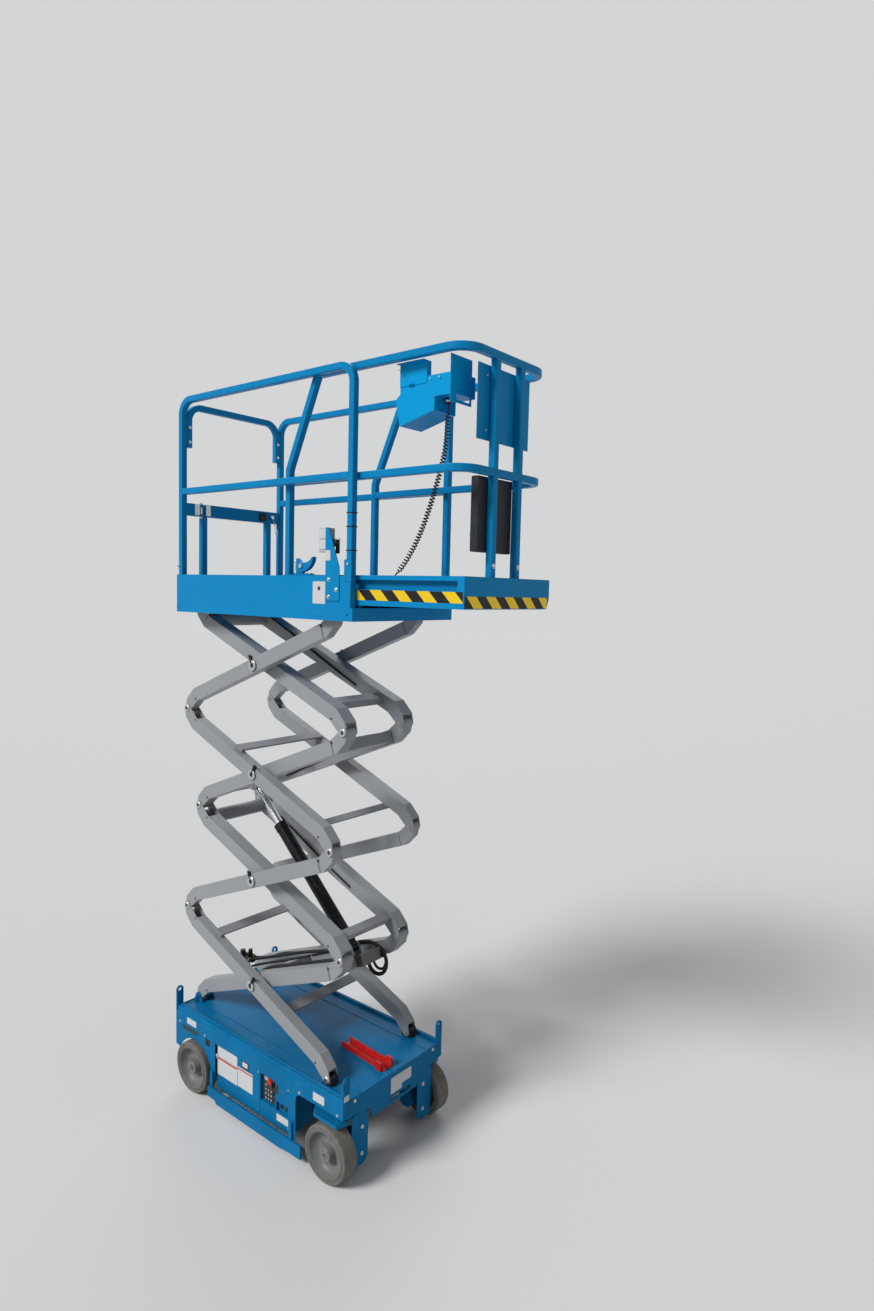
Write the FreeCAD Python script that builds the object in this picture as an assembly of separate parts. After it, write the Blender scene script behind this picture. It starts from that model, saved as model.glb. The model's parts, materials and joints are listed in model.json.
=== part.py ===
import FreeCAD, Part
import math
import os

# Electric slab scissor lift with a four-level linkage and a slide-out deck.
# Millimetres, Z up, +X towards the steered wheels, -Y the side with the ground controls.
# Everything is modelled about the middle of the wheelbase on the floor, and place()
# moves it so that the origin is on the floor under the middle of the whole machine.

V = FreeCAD.Vector

# Running clearances
runningGap = 0.05
sideGap = 0.5
faceGap = 0.3

# Wheels and axles
wheelBase = 1114.0
overallWidth = 810.0
tyreRadius = 145.0
tyreWidth = 92.0
tyreCorner = 9.0
rimRadius = 103.0
rimDish = 22.0
rimWall = 7.0
rimLip = 14.0
hubRadius = 30.0
hubBore = 17.5
hangerPlate = 16.0
hangerLength = 120.0
hangerBottom = 70.0
axleBeamWidth = 80.0
axleBeamDepth = 80.0

# Steering
kingpinInset = 150.0
kingpinRadius = 26.0
kingpinBottom = 300.0
kingpinTop = 392.0
housingWall = 14.0
housingBottom = 342.0
yokePlate = 14.0
yokeLength = 100.0
yokeTop = 330.0
fenderSheet = 8.0
motorRadius = 48.0
motorInboard = 200.0
motorGuardX = 88.0
motorGuardBottom = 52.0
motorGuardInner = 190.0
motorGuardCorner = 40.0
steerArm = 90.0
steerArmWidth = 28.0
tieRodZ = 297.0
tieRodSize = 14.0
tieRodEye = 15.0
tieRodPin = 7.0

# Chassis
chassisRear = -745.0
chassisFront = 660.0
chassisWidth = 758.0
railTop = 453.0
railWidth = 36.0
railBevel = 10.0
bandBottom = 352.0
deckTop = 438.0
deckSheet = 6.0
sheet = 5.0
beamOffset = 150.0
beamWidth = 60.0
beamDepth = 90.0
beamWall = 6.0
noseBottom = 272.0
noseHalf = 170.0
noseStep = 20.0
moduleRear = -364.0
moduleFront = 262.0
moduleBottom = 92.0
moduleInset = 14.0
moduleInboard = 210.0
archGap = 12.0
skirtBottom = 130.0
skirtCorner = 216.0
frontArch = 316.0
archCorner = 38.0
guardRear = -402.0
guardFront = 378.0
guardBottom = 22.0
guardHeight = 78.0
guardThickness = 12.0
guardStep = 18.0
guardStem = 24.0
guardStemTop = 190.0
lugWidth = 44.0
lugThickness = 12.0
lugTop = 560.0
lugHole = 11.0
blockRear = -330.0
blockFront = 240.0
blockHalf = 180.0
blockBottom = 110.0

# Ground controls: recess in the near side module
panelLeft = 18.0
panelRight = 138.0
panelBottom = 182.0
panelTop = 332.0
panelDepth = 24.0
socketLeft = 150.0
socketRight = 240.0
socketBottom = 178.0
socketTop = 230.0
socketDepth = 18.0
stopX = 98.0
stopZ = 300.0
stopRadius = 20.0

# Linkage
levels = 4
pinHalfSpan = 664.0
pinOffset = 50.0
restAngle = 26.02
pivotX = -705.5
pivotZ = 468.0
armHeight = 76.0
armWall = 5.0
outerArmWidth = 60.0
innerArmWidth = 80.0
outerArmFace = 330.0
armGap = 18.0
endLength = 95.0
endBend = 24.0
bossRadius = 24.0
pinRadius = 12.0
midPinRadius = 20.0
midSleeve = 8.0
collarRadius = 32.0
pinHead = 6.0
padHalfHeight = 30.0
padLength = 64.0
padCorner = 8.0
earThickness = 10.0
tieStandOff = 7.0
tieFoot = 30.0

# Lift cylinder, its lower eye on the first inner arms and its upper eye on the third
cylLowAlong = 1164.0
cylLowAbove = 23.6
cylHighAlong = 252.0
cylHighAbove = 1.7
barrelRadius = 36.0
barrelLength = 818.0
barrelNeck = 28.0
glandLength = 40.0
glandStep = 3.0
rodRadius = 20.0
rodLength = 809.0
eyeRadius = 26.0
eyeWidth = 44.0
rodEyeRadius = 22.0
cylPinRadius = 12.0

# Hydraulic hoses
hoseRadius = 8.0

# Platform
platformRear = -745.0
platformFront = 645.0
platformWidth = 741.0
toeSheet = 3.0
sideDepth = 210.0
toeRise = 147.0
rearDrop = 40.0
rearLift = 30.0
frontTray = 15.0
floorSheet = 4.0
railTube = 35.0
railWall = 2.5
railRise = 1108.0
midRise = 609.0
railBend = 80.0
postRear = -716.0
postFront = 628.0
hoopDrop = 20.0
hoopLeg = 230.0
runnerY = 300.0
runnerWidth = 24.0

# Gate at the rear
gateHingeY = -230.0
gateHingeRadius = 8.0
gateBeam = 30.0
gateBeamTop = 3382.0
gateBeamDepth = 70.0
gateWall = 3.0
gateLeg = 34.0
gateLegNear = -216.0
gateLegFar = 248.0
gateFootRise = -72.0
gateGap = 6.0
gateRoot = 20.0
gateKnuckle = 13.0
knuckleHeight = 16.0

# Slide-out deck, drawn out
extRear = 122.0
extFront = 1271.0
extWidth = 652.0
extLift = 13.0
extDepth = 140.0
extSheet = 4.0
extFlange = 34.0
extLip = 21.0
extBand = 75.0
extBandFront = 35.0
extRailTube = 35.0
extRailInset = 0.5
extRailBend = 95.0
extLegX = 146.0
extLegRise = 62.0
extSlant = 200.0
extHoopBack = 36.0
extPostY = 95.0
extNose = 20.0

# Control box on the near top rail
boxRear = 832.0
boxFront = 1138.0
boxHook = 988.0
boxTop = 3853.0
boxInner = 262.0
boxDepth = 150.0
boxSheet = 3.0
boxStep = 107.0
boxStepRise = 92.0
guardDrop = 130.0
guardWindow = 42.0
hookDrop = 20.0
hookLap = 30.0
hookFold = 26.0
ledgeStart = 52.0
ledgeEnd = 84.0
ledgeDepth = 14.0

# Document case and panel between the front posts
caseDepth = 42.0
caseNear = -178.0
caseFar = 82.0
caseLow = 3095.0
caseCorner = 10.0
sheetHalf = 200.0
sheetLow = 3575.0
sheetHigh = 3895.0

# Curly cord from the control box to the socket on the deck
coilDiameter = 24.0
coilRoute = [V(1060, -200, 3739), V(1060, -200, 3640), V(1057, -209, 3535), V(1034, -222, 3420),
             V(1000, -233, 3300), V(957, -244, 3180), V(908, -256, 3085), V(858, -266, 3015),
             V(814, -270, 2972)]
socketNeck = 34.0
socketFoot = 56.0

originX = 0.5 * (chassisRear + extFront)

halfWidth = 0.5 * chassisWidth
wheelFace = 0.5 * overallWidth
wheelBack = wheelFace - tyreWidth
axleRadius = hubBore - runningGap
rearAxleX = -0.5 * wheelBase
steerAxleX = 0.5 * wheelBase
kingpinY = wheelFace - kingpinInset
deckUnder = deckTop - deckSheet

pinDiag = 2.0 * pinHalfSpan
stowAngle = math.degrees(math.asin(pinOffset / pinHalfSpan))
tubeAngle = restAngle - stowAngle
pinAlong = math.sqrt(pinHalfSpan ** 2 - pinOffset ** 2)
levelRun = pinDiag * math.cos(math.radians(restAngle))
levelRise = pinDiag * math.sin(math.radians(restAngle))
innerArmFace = outerArmFace - outerArmWidth - armGap
outerNear = -outerArmFace
innerNear = -innerArmFace
innerClear = innerArmFace - innerArmWidth
outerClear = outerArmFace - outerArmWidth

topPinZ = pivotZ + levels * levelRise
floorUnder = topPinZ + padHalfHeight
floorTop = floorUnder + floorSheet
toeTop = floorTop + toeRise
sideBottom = toeTop - sideDepth
extBottom = floorTop + extLift
extTop = extBottom + extDepth
topRailZ = floorTop + railRise
midRailZ = floorTop + midRise
halfPlatform = 0.5 * platformWidth
postY = halfPlatform - toeSheet - 0.5 * railTube
halfExt = 0.5 * extWidth
extRailY = halfExt - 0.5 * extRailTube - extRailInset
extHoopX = extFront - extHoopBack


def box(x0, x1, y0, y1, z0, z1):
    return Part.makeBox(x1 - x0, y1 - y0, z1 - z0, V(x0, y0, z0))


def rodX(y, z, radius, x0, x1):
    return Part.makeCylinder(radius, x1 - x0, V(x0, y, z), V(1, 0, 0))


def rodY(x, z, radius, y0, y1):
    return Part.makeCylinder(radius, y1 - y0, V(x, y0, z), V(0, 1, 0))


def rodZ(x, y, radius, z0, z1):
    return Part.makeCylinder(radius, z1 - z0, V(x, y, z0), V(0, 0, 1))


def join(shapes):
    solid = shapes[0].multiFuse(shapes[1:]) if len(shapes) > 1 else shapes[0]
    return solid.removeSplitter()


def group(shapes):
    return Part.makeCompound(shapes)


def otherSide(shape):
    return shape.mirror(V(0, 0, 0), V(0, 1, 0))


def bothSides(shape):
    return group([shape, otherSide(shape)])


def plateXZ(points, y0, y1):
    wire = Part.makePolygon([V(x, y0, z) for x, z in points + points[:1]])
    return Part.Face(wire).extrude(V(0, y1 - y0, 0))


def plateYZ(points, x0, x1):
    wire = Part.makePolygon([V(x0, y, z) for y, z in points + points[:1]])
    return Part.Face(wire).extrude(V(x1 - x0, 0, 0))


def plateXY(points, z0, z1):
    wire = Part.makePolygon([V(x, y, z0) for x, y in points + points[:1]])
    return Part.Face(wire).extrude(V(0, 0, z1 - z0))


def bentPath(points, bend):
    # straight runs joined by tangent arcs of one radius
    edges = []
    start = points[0]
    for i in range(1, len(points) - 1):
        before = (points[i - 1] - points[i]).normalize()
        after = (points[i + 1] - points[i]).normalize()
        half = 0.5 * before.getAngle(after)
        reach = bend / math.tan(half)
        enter = points[i] + before * reach
        leave = points[i] + after * reach
        middle = (before + after).normalize()
        crown = points[i] + middle * (bend / math.sin(half) - bend)
        edges.append(Part.LineSegment(start, enter).toShape())
        edges.append(Part.Arc(enter, crown, leave).toShape())
        start = leave
    edges.append(Part.LineSegment(start, points[-1]).toShape())
    return Part.Wire(edges)


def squareSection(origin, direction, side, size):
    up = direction.cross(side).normalize() * (0.5 * size)
    out = side * (0.5 * size)
    corners = [origin + out + up, origin - out + up, origin - out - up, origin + out - up]
    return Part.makePolygon(corners + corners[:1])


def squareTube(points, bend, size, wall, side):
    # a bent square tube whose path lies in a plane with the normal "side"
    path = bentPath(points, bend)
    direction = (points[1] - points[0]).normalize()
    skin = path.makePipeShell([squareSection(points[0], direction, side, size)], True, False)
    core = path.makePipeShell([squareSection(points[0], direction, side, size - 2 * wall)], True, False)
    return skin.cut(core)


def boxTube(x0, x1, y0, y1, z0, z1, wall, along):
    # a straight rectangular tube, open at both ends along one axis
    outer = box(x0, x1, y0, y1, z0, z1)
    gapX, gapY, gapZ = {"X": (0, wall, wall), "Y": (wall, 0, wall), "Z": (wall, wall, 0)}[along]
    return outer.cut(box(x0 + gapX, x1 - gapX, y0 + gapY, y1 - gapY, z0 + gapZ, z1 - gapZ))


def tangentPoint(px, pz, cx, cz, radius, side):
    # where the line from a point touches a circle, on the side given by +1 or -1
    dx, dz = px - cx, pz - cz
    turn = math.acos(radius / math.hypot(dx, dz)) * side
    base = math.atan2(dz, dx)
    return cx + radius * math.cos(base + turn), cz + radius * math.sin(base + turn)


# Scissor arms: drawn level about the middle pin, with the right end's pin above the
# tube's centre line and the left end's pin below it

halfArm = 0.5 * armHeight
bendX = pinAlong - endLength
bendSlope = math.tan(math.radians(endBend))
mitre = halfArm * math.tan(math.radians(0.5 * endBend))
tubeEnd = bendX - 9.0
backEndX = pinAlong - 8.0
backEndZ = -halfArm + (backEndX - bendX - mitre) * bendSlope


def armEndOutline():
    outerTouch = tangentPoint(backEndX, backEndZ, pinAlong, pinOffset, bossRadius, 1)
    innerTouch = tangentPoint(bendX - mitre, halfArm, pinAlong, pinOffset, bossRadius, -1)
    return [(bendX + mitre, -halfArm), (backEndX, backEndZ), outerTouch, innerTouch,
            (bendX - mitre, halfArm)]


def turned(points):
    return [(-x, -z) for x, z in points]


def armSkin(y0, y1):
    right = armEndOutline()
    body = plateXZ(right + turned(right), y0, y1)
    bosses = [rodY(s * pinAlong, s * pinOffset, bossRadius, y0, y1) for s in (1, -1)]
    return join([body] + bosses)


def eyeArm(width):
    # box tube with a narrower welded end piece and a bored boss at each end
    inset = armWall + sideGap
    tube = box(-tubeEnd, tubeEnd, 0, width, -halfArm, halfArm)
    cavity = box(-tubeEnd, tubeEnd, armWall, width - armWall, armWall - halfArm, halfArm - armWall)
    tube = tube.cut(cavity)
    tongue = armSkin(inset, width - inset)
    tongue = tongue.cut(box(-tubeEnd, tubeEnd, 0, width, -2 * armHeight, 2 * armHeight))
    plug = halfArm - armWall
    parts = [tube, tongue]
    for s in (1, -1):
        x0, x1 = sorted((s * (tubeEnd - bossRadius), s * (tubeEnd + 1)))
        parts.append(box(x0, x1, inset, width - inset, -plug, plug))
    arm = join(parts)
    for s in (1, -1):
        arm = arm.cut(rodY(s * pinAlong, s * pinOffset, pinRadius + runningGap, 0, width))
    return arm


def forkArm(width):
    # box tube whose side walls run on past its end as two ears, each with its pin
    arm = armSkin(0, width)
    inside = halfArm - armWall
    reach = pinAlong + 2.5 * bossRadius
    rise = -inside + (reach - bendX - mitre) * bendSlope
    end = [(bendX + mitre - 1.0, -inside), (reach, rise), (reach, 2 * armHeight),
           (bendX - mitre - 4.0, 2 * armHeight), (bendX - mitre - 4.0, inside)]
    hollow = plateXZ(end + turned(end), armWall, width - armWall)
    arm = arm.cut(hollow)
    pins = [rodY(s * pinAlong, s * pinOffset, pinRadius, -pinHead, width + pinHead) for s in (1, -1)]
    return join([arm] + pins)


def innerIsRising(level):
    return level % 2 == 1


def midPin(level):
    return V(pivotX + 0.5 * levelRun, 0, pivotZ + (level - 0.5) * levelRise)


def onArm(level, rising, shape):
    # places a shape drawn in a level arm's own coordinates; a falling arm is its mirror
    # image, so that its own +X end is its upper, rear end
    shape = shape.copy()
    angle = tubeAngle
    if not rising:
        shape = shape.mirror(V(0, 0, 0), V(1, 0, 0))
        angle = -tubeAngle
    shape.rotate(V(0, 0, 0), V(0, -1, 0), angle)
    shape.translate(midPin(level))
    return shape


def innerArms(level):
    # carries the middle pin, with a collar in the gap between the arms
    arm = eyeArm(innerArmWidth) if innerIsRising(level) else forkArm(innerArmWidth)
    collar = rodY(0, 0, collarRadius, -armGap + faceGap, 0)
    pin = rodY(0, 0, midPinRadius, -armGap - outerArmWidth - pinHead - 2, innerArmWidth)
    whole = join([arm, collar, pin])
    whole.translate(V(0, innerNear, 0))
    return bothSides(onArm(level, innerIsRising(level), whole))


def outerArms(level):
    rising = not innerIsRising(level)
    arm = eyeArm(outerArmWidth) if rising else forkArm(outerArmWidth)
    sleeve = rodY(0, 0, midPinRadius + midSleeve, 0, outerArmWidth)
    arm = join([arm, sleeve]).cut(rodY(0, 0, midPinRadius + runningGap, 0, outerArmWidth))
    arm.translate(V(0, outerNear, 0))
    near = onArm(level, rising, arm)
    if level < levels:
        return bothSides(near)
    return group([near, otherSide(near), upperPadPins()])


# Cross tubes between the inner arms, in arm coordinates:
# level, distance from the middle pin, height over the arm's centre line, length, depth
innerTies = [
    (1, 480.0, -15.0, 120.0, 46.0),
    (1, -120.0, -12.0, 70.0, 50.0),
    (2, -568.0, 8.0, 50.0, 34.0),
    (3, -488.0, 0.0, 50.0, 60.0),
    (3, 540.0, 0.0, 80.0, 60.0),
    (4, -470.0, 0.0, 60.0, 40.0),
]

# Round torque tubes between the inner arms' upper rear ends:
# level, distance from the middle pin, height over the arm's centre line, radius
torqueTubes = [
    (2, 586.0, 4.0, 40.0),
    (4, 586.0, 4.0, 40.0),
]

# Flat cross bars over or under the outer arms, in the space between two levels:
# level, distance from the middle pin, side of the arm (+1 over, -1 under), length
outerTies = [
    (1, 385.0, 1, 60.0),
    (1, -200.0, -1, 60.0),
    (3, 190.0, 1, 60.0),
    (3, -450.0, -1, 44.0),
]
outerTieDepth = 10.0


def innerTieSet(level):
    bars = []
    for row in innerTies:
        if row[0] != level:
            continue
        along, above, length, depth = row[1:]
        x0, x1 = along - 0.5 * length, along + 0.5 * length
        z0, z1 = above - 0.5 * depth, above + 0.5 * depth
        bars.append(boxTube(x0, x1, -innerClear, innerClear, z0, z1, armWall, "Y"))
    for row in torqueTubes:
        if row[0] != level:
            continue
        along, above, radius = row[1:]
        skin = rodY(along, above, radius, -innerClear, innerClear)
        bars.append(skin.cut(rodY(along, above, radius - armWall, -innerClear, innerClear)))
    return bars


def outerTieSet(level):
    bars = []
    for row in outerTies:
        if row[0] != level:
            continue
        along, side, length = row[1:]
        x0, x1 = along - 0.5 * length, along + 0.5 * length
        z0, z1 = sorted((side * (halfArm + tieStandOff), side * (halfArm + tieStandOff + outerTieDepth)))
        f0, f1 = sorted((side * halfArm, side * (halfArm + tieStandOff)))
        reach = outerClear + tieFoot
        foot = box(x0, x1, -reach, -outerClear - sheet, f0, f1)
        bars.append(join([box(x0, x1, -reach, reach, z0, z1), foot, otherSide(foot)]))
    return group([onArm(level, False, bar) for bar in bars])


def pinLinePoint(level, along, above):
    # a point given along the line through a rising arm's pins and square to it
    angle = math.radians(restAngle)
    forward = V(math.cos(angle), 0, math.sin(angle))
    normal = V(-math.sin(angle), 0, math.cos(angle))
    return V(pivotX, 0, pivotZ + (level - 1) * levelRise) + forward * along + normal * above


cylLow = pinLinePoint(1, cylLowAlong, cylLowAbove)
cylHigh = pinLinePoint(3, cylHighAlong, cylHighAbove)
earInner = 0.5 * eyeWidth + sideGap
earOuter = earInner + earThickness


def armLocal(level, point):
    # a point in the coordinates of a rising arm
    offset = point - midPin(level)
    angle = math.radians(tubeAngle)
    return (offset.x * math.cos(angle) + offset.z * math.sin(angle),
            -offset.x * math.sin(angle) + offset.z * math.cos(angle))


def lowerCylinderEars():
    # ears on the first cross tube, with the pin through the barrel's eye
    along, above = armLocal(1, cylLow)
    seat = innerTies[0][2] + 0.5 * innerTies[0][4]
    parts = []
    for y0, y1 in ((earInner, earOuter), (-earOuter, -earInner)):
        parts.append(box(along - eyeRadius, along + eyeRadius, y0, y1, seat, above))
        parts.append(rodY(along, above, eyeRadius, y0, y1))
    parts.append(rodY(along, above, cylPinRadius, -earOuter - pinHead, earOuter + pinHead))
    return parts


def upperCylinderEars():
    # ears reaching back from a cross tube to the rod's eye, each with its own pin end
    along, above = armLocal(3, cylHigh)
    row = innerTies[3]
    edge = row[1] + 0.5 * row[3]
    low, high = row[2] - 0.5 * row[4], row[2] + 0.5 * row[4]
    parts = []
    for y0, y1 in ((earInner, earOuter), (-earOuter, -earInner)):
        web = [(edge - 1.0, high), (edge - 1.0, low), (along, above - eyeRadius), (along, above + eyeRadius)]
        parts.append(plateXZ(web, y0, y1))
        parts.append(rodY(along, above, eyeRadius, y0, y1))
    parts.append(rodY(along, above, cylPinRadius, earInner, earOuter + pinHead))
    parts.append(rodY(along, above, cylPinRadius, -earOuter - pinHead, -earInner))
    return parts


def innerTieNode(level):
    bars = innerTieSet(level)
    if level == 1:
        bars = [join([bars[0]] + lowerCylinderEars())] + bars[1:]
    if level == 3:
        bars = [join([bars[0]] + upperCylinderEars())] + bars[1:]
    return group([onArm(level, innerIsRising(level), bar) for bar in bars])


def valveBlock():
    # manifold on the end of the first cross tube
    row = innerTies[0]
    edge = row[1] + 0.5 * row[3]
    return onArm(1, True, box(edge, edge + 50, -40, 120, -halfArm, 24))


def hoseBundle():
    # three hoses lying along the first inner arms, with their clamp on the first cross tube
    seat = innerTies[0][2] + 0.5 * innerTies[0][4]
    rest = innerTies[1][2] + 0.5 * innerTies[1][4]
    x0, x1 = innerTies[1][1] - 60, innerTies[0][1] - 10
    shapes = [box(x1 - 40, x1, -120, -44, seat, rest + 2 * hoseRadius + 4)]
    for y in (-60, -82, -104):
        shapes.append(rodX(y, rest + hoseRadius, hoseRadius, x0, x1 - 2))
    return onArm(1, True, join(shapes))


def liftCylinder():
    # drawn along +X from the lower eye, then turned onto the line between the eyes
    run = cylHigh - cylLow
    length = run.Length
    angle = math.degrees(math.atan2(run.z, run.x))
    halfEye = 0.5 * eyeWidth
    barrel = join([rodX(0, 0, barrelRadius, barrelNeck, barrelLength),
                   rodY(0, 0, eyeRadius, -halfEye, halfEye),
                   box(0, barrelNeck + 4, -halfEye, halfEye, -eyeRadius + 2, eyeRadius - 2),
                   rodX(0, 0, barrelRadius + glandStep, barrelLength - glandLength, barrelLength)])
    barrel = barrel.cut(rodY(0, 0, cylPinRadius + runningGap, -eyeWidth, eyeWidth))
    barrel = barrel.cut(rodX(0, 0, rodRadius + runningGap, barrelNeck + 4, barrelLength))
    rod = join([rodX(0, 0, rodRadius, length - rodLength, length),
                rodY(length, 0, rodEyeRadius, -halfEye, halfEye)])
    placed = []
    for shape in (barrel, rod):
        shape.rotate(V(0, 0, 0), V(0, -1, 0), angle)
        shape.translate(cylLow)
        placed.append(shape)
    return placed


def lowerPads():
    # blocks between the ears of the first falling arms, running on the deck
    x, z = pivotX + levelRun, pivotZ
    y0 = outerNear + armWall + sideGap
    y1 = outerNear + outerArmWidth - armWall - sideGap
    block = box(x - 0.5 * padLength, x + 0.5 * padLength, y0, y1, deckTop + faceGap, z + 0.7 * padHalfHeight)
    block = block.makeFillet(padCorner, [e for e in block.Edges if abs(e.BoundBox.YLength - (y1 - y0)) < 0.01])
    block = block.cut(rodY(x, z, pinRadius + runningGap, y0, y1))
    return bothSides(block)


padSide0 = outerNear + armWall
padSide1 = outerNear + outerArmWidth - armWall


def upperPads():
    # shoes that straddle the last rising arms' eyes and slide under the platform floor
    x, z = pivotX + levelRun, topPinZ
    y0, y1 = outerNear, outerNear + outerArmWidth
    shoe = box(x - 0.5 * padLength, x + 0.5 * padLength, y0, y1, z - 0.7 * padHalfHeight, floorUnder - faceGap)
    shoe = shoe.cut(box(x - padLength, x + padLength, padSide0, padSide1, z - padHalfHeight, z + bossRadius + 1.5))
    shoe = shoe.cut(rodY(x, z, pinRadius + runningGap, y0, y1))
    return bothSides(shoe)


def upperPadPins():
    x, z = pivotX + levelRun, topPinZ
    return bothSides(rodY(x, z, pinRadius, outerNear - pinHead, padSide1 + armWall + pinHead))


def sideRail():
    # folded rail along the deck's edge, with the deep outer band
    half, inner = halfWidth, halfWidth - railWidth
    shoulder = 0.4 * sheet
    outline = [(-half, bandBottom), (-half, railTop - railBevel), (-half + railBevel, railTop),
               (-inner, railTop), (-inner, deckUnder), (-inner - sheet, deckUnder),
               (-inner - sheet, railTop - sheet), (-half + railBevel + shoulder, railTop - sheet),
               (-half + sheet, railTop - railBevel - shoulder), (-half + sheet, bandBottom)]
    return plateYZ(outline, chassisRear, chassisFront)


def sideSkirts():
    # plates under the band: round the rear wheel, and in front of the module
    y0, y1 = -halfWidth, -halfWidth + sheet
    top = bandBottom + sheet
    rear = plateXZ([(chassisRear, skirtCorner), (guardRear, skirtBottom), (moduleRear, skirtBottom),
                    (moduleRear, top), (chassisRear, top)], y0, y1)
    rear = rear.cut(rodY(rearAxleX, tyreRadius, tyreRadius + archGap, y0, y1))
    post = box(moduleFront, frontArch, y0, y1, moduleBottom, top)
    cx, cz = frontArch + archCorner, bandBottom - archCorner
    turn = [math.radians(a) for a in range(90, 181, 15)]
    arc = [(cx + archCorner * math.cos(a), cz + archCorner * math.sin(a)) for a in turn]
    corner = plateXZ([(frontArch - 1, top), (cx, top)] + arc + [(frontArch - 1, cz)], y0, y1)
    return [rear, join([post, corner])]


def tieDownLugs():
    # one plate with an eye at each end of a side, square to the travel
    lugs = []
    z = lugTop - 0.5 * lugWidth
    y = -halfWidth + 0.5 * lugWidth
    for x0 in (chassisRear, chassisFront - lugThickness):
        x1 = x0 + lugThickness
        lug = join([box(x0, x1, y - 0.5 * lugWidth, y + 0.5 * lugWidth, bandBottom + 20, z),
                    rodX(y, z, 0.5 * lugWidth, x0, x1)])
        lugs.append(lug.cut(rodX(y, z, lugHole, x0, x1)))
    return lugs


def frontPlate():
    # end plate that drops lower in the middle, with a slot above the drop
    half, inner = halfWidth - sheet, halfWidth - railWidth - sheet
    top = railTop - railBevel
    left = [(-half, bandBottom), (-noseHalf - noseStep, bandBottom - noseStep), (-noseHalf, noseBottom)]
    right = [(-y, z) for y, z in reversed(left)]
    edge = [(half, top), (inner, top), (inner, deckTop), (-inner, deckTop), (-inner, top), (-half, top)]
    plate = plateYZ(left + right + edge, chassisFront - sheet, chassisFront)
    slot = box(chassisFront - 2 * sheet, chassisFront, -30, 120, noseBottom + 18, noseBottom + 34)
    return plate.cut(slot)


def pivotBrackets():
    # two ears for each lower inner arm, with the pin between them
    eyeNear = innerNear + armWall + sideGap
    eyeFar = innerNear + innerArmWidth - armWall - sideGap
    foot = bossRadius + 12
    shapes = []
    for y0, y1 in ((eyeNear - sideGap - earThickness, eyeNear - sideGap),
                   (eyeFar + sideGap, eyeFar + sideGap + earThickness)):
        shapes.append(plateXZ([(pivotX - foot, deckTop), (pivotX + foot + 14, deckTop),
                               (pivotX + bossRadius - 8, pivotZ + 12), (pivotX - bossRadius + 8, pivotZ + 12)],
                              y0, y1))
        shapes.append(rodY(pivotX, pivotZ, bossRadius - 2, y0, y1))
    reach = sideGap + earThickness + pinHead
    shapes.append(rodY(pivotX, pivotZ, pinRadius, eyeNear - reach, eyeFar + reach))
    return bothSides(join(shapes))


def sideRails():
    # folded rail, skirts and tie-down lugs of each side
    near = join([sideRail()] + sideSkirts() + tieDownLugs())
    return bothSides(near)


def chassisFrame():
    # deck plate between the rails, with the two end plates
    inner = halfWidth - railWidth
    deck = box(chassisRear + sheet, chassisFront - sheet, -inner, inner, deckUnder, deckTop)
    rear = box(chassisRear, chassisRear + sheet, -halfWidth + sheet, halfWidth - sheet,
               bandBottom, railTop - railBevel)
    frame = join([deck, rear, frontPlate()])
    return frame.cut(sideRails()).cut(pivotBrackets())


def frameBeams():
    beam = boxTube(chassisRear + sheet, chassisFront - sheet, -beamOffset - 0.5 * beamWidth,
                   -beamOffset + 0.5 * beamWidth, deckUnder - beamDepth, deckUnder, beamWall, "X")
    return bothSides(beam)


def sideModule(near):
    # closed tray between the wheels, with recesses for the controls on the near side
    y0, y1 = -halfWidth + moduleInset, -moduleInboard
    body = box(moduleRear, moduleFront, y0, y1, moduleBottom, deckUnder - faceGap)
    if not near:
        return otherSide(body)
    body = body.cut(box(panelLeft, panelRight, y0, y0 + panelDepth, panelBottom, panelTop))
    return body.cut(box(socketLeft, socketRight, y0, y0 + socketDepth, socketBottom, socketTop))


def powerBlock():
    return box(blockRear, blockFront, -blockHalf, blockHalf, blockBottom, deckUnder - beamDepth - faceGap)


def groundPanel():
    # control plate in the recess, with the stop button
    y = -halfWidth + moduleInset + panelDepth
    edge = 4.0
    plate = box(panelLeft + edge, panelRight - edge, y - 2 * edge, y - faceGap, panelBottom + edge, panelTop - edge)
    button = rodY(stopX, stopZ, stopRadius, y - panelDepth - edge, y - 2 * edge)
    stem = rodY(stopX, stopZ, 0.5 * stopRadius, y - panelDepth, y - edge)
    return join([plate, stem, button])


def guardBar(side):
    # bar low over the floor between the wheels, carried by two stems that slide up
    y0 = -wheelFace + 5
    y1 = y0 + guardThickness
    top = guardBottom + guardHeight
    bar = plateXZ([(guardRear, guardBottom + guardStep), (guardRear + 60, guardBottom + guardStep),
                   (guardRear + 80, guardBottom), (guardFront - 150, guardBottom),
                   (guardFront - 130, guardBottom + 8), (guardFront, guardBottom + 8),
                   (guardFront, top), (guardRear, top)], y0, y1)
    shapes = [bar]
    for x in (guardRear + 8, 0.5 * (moduleFront + frontArch - guardStem)):
        shapes.append(box(x, x + guardStem, y1 - 4, -halfWidth - sideGap, guardBottom + guardStep, guardStemTop))
    guard = join(shapes)
    return guard if side < 0 else otherSide(guard)


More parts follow.
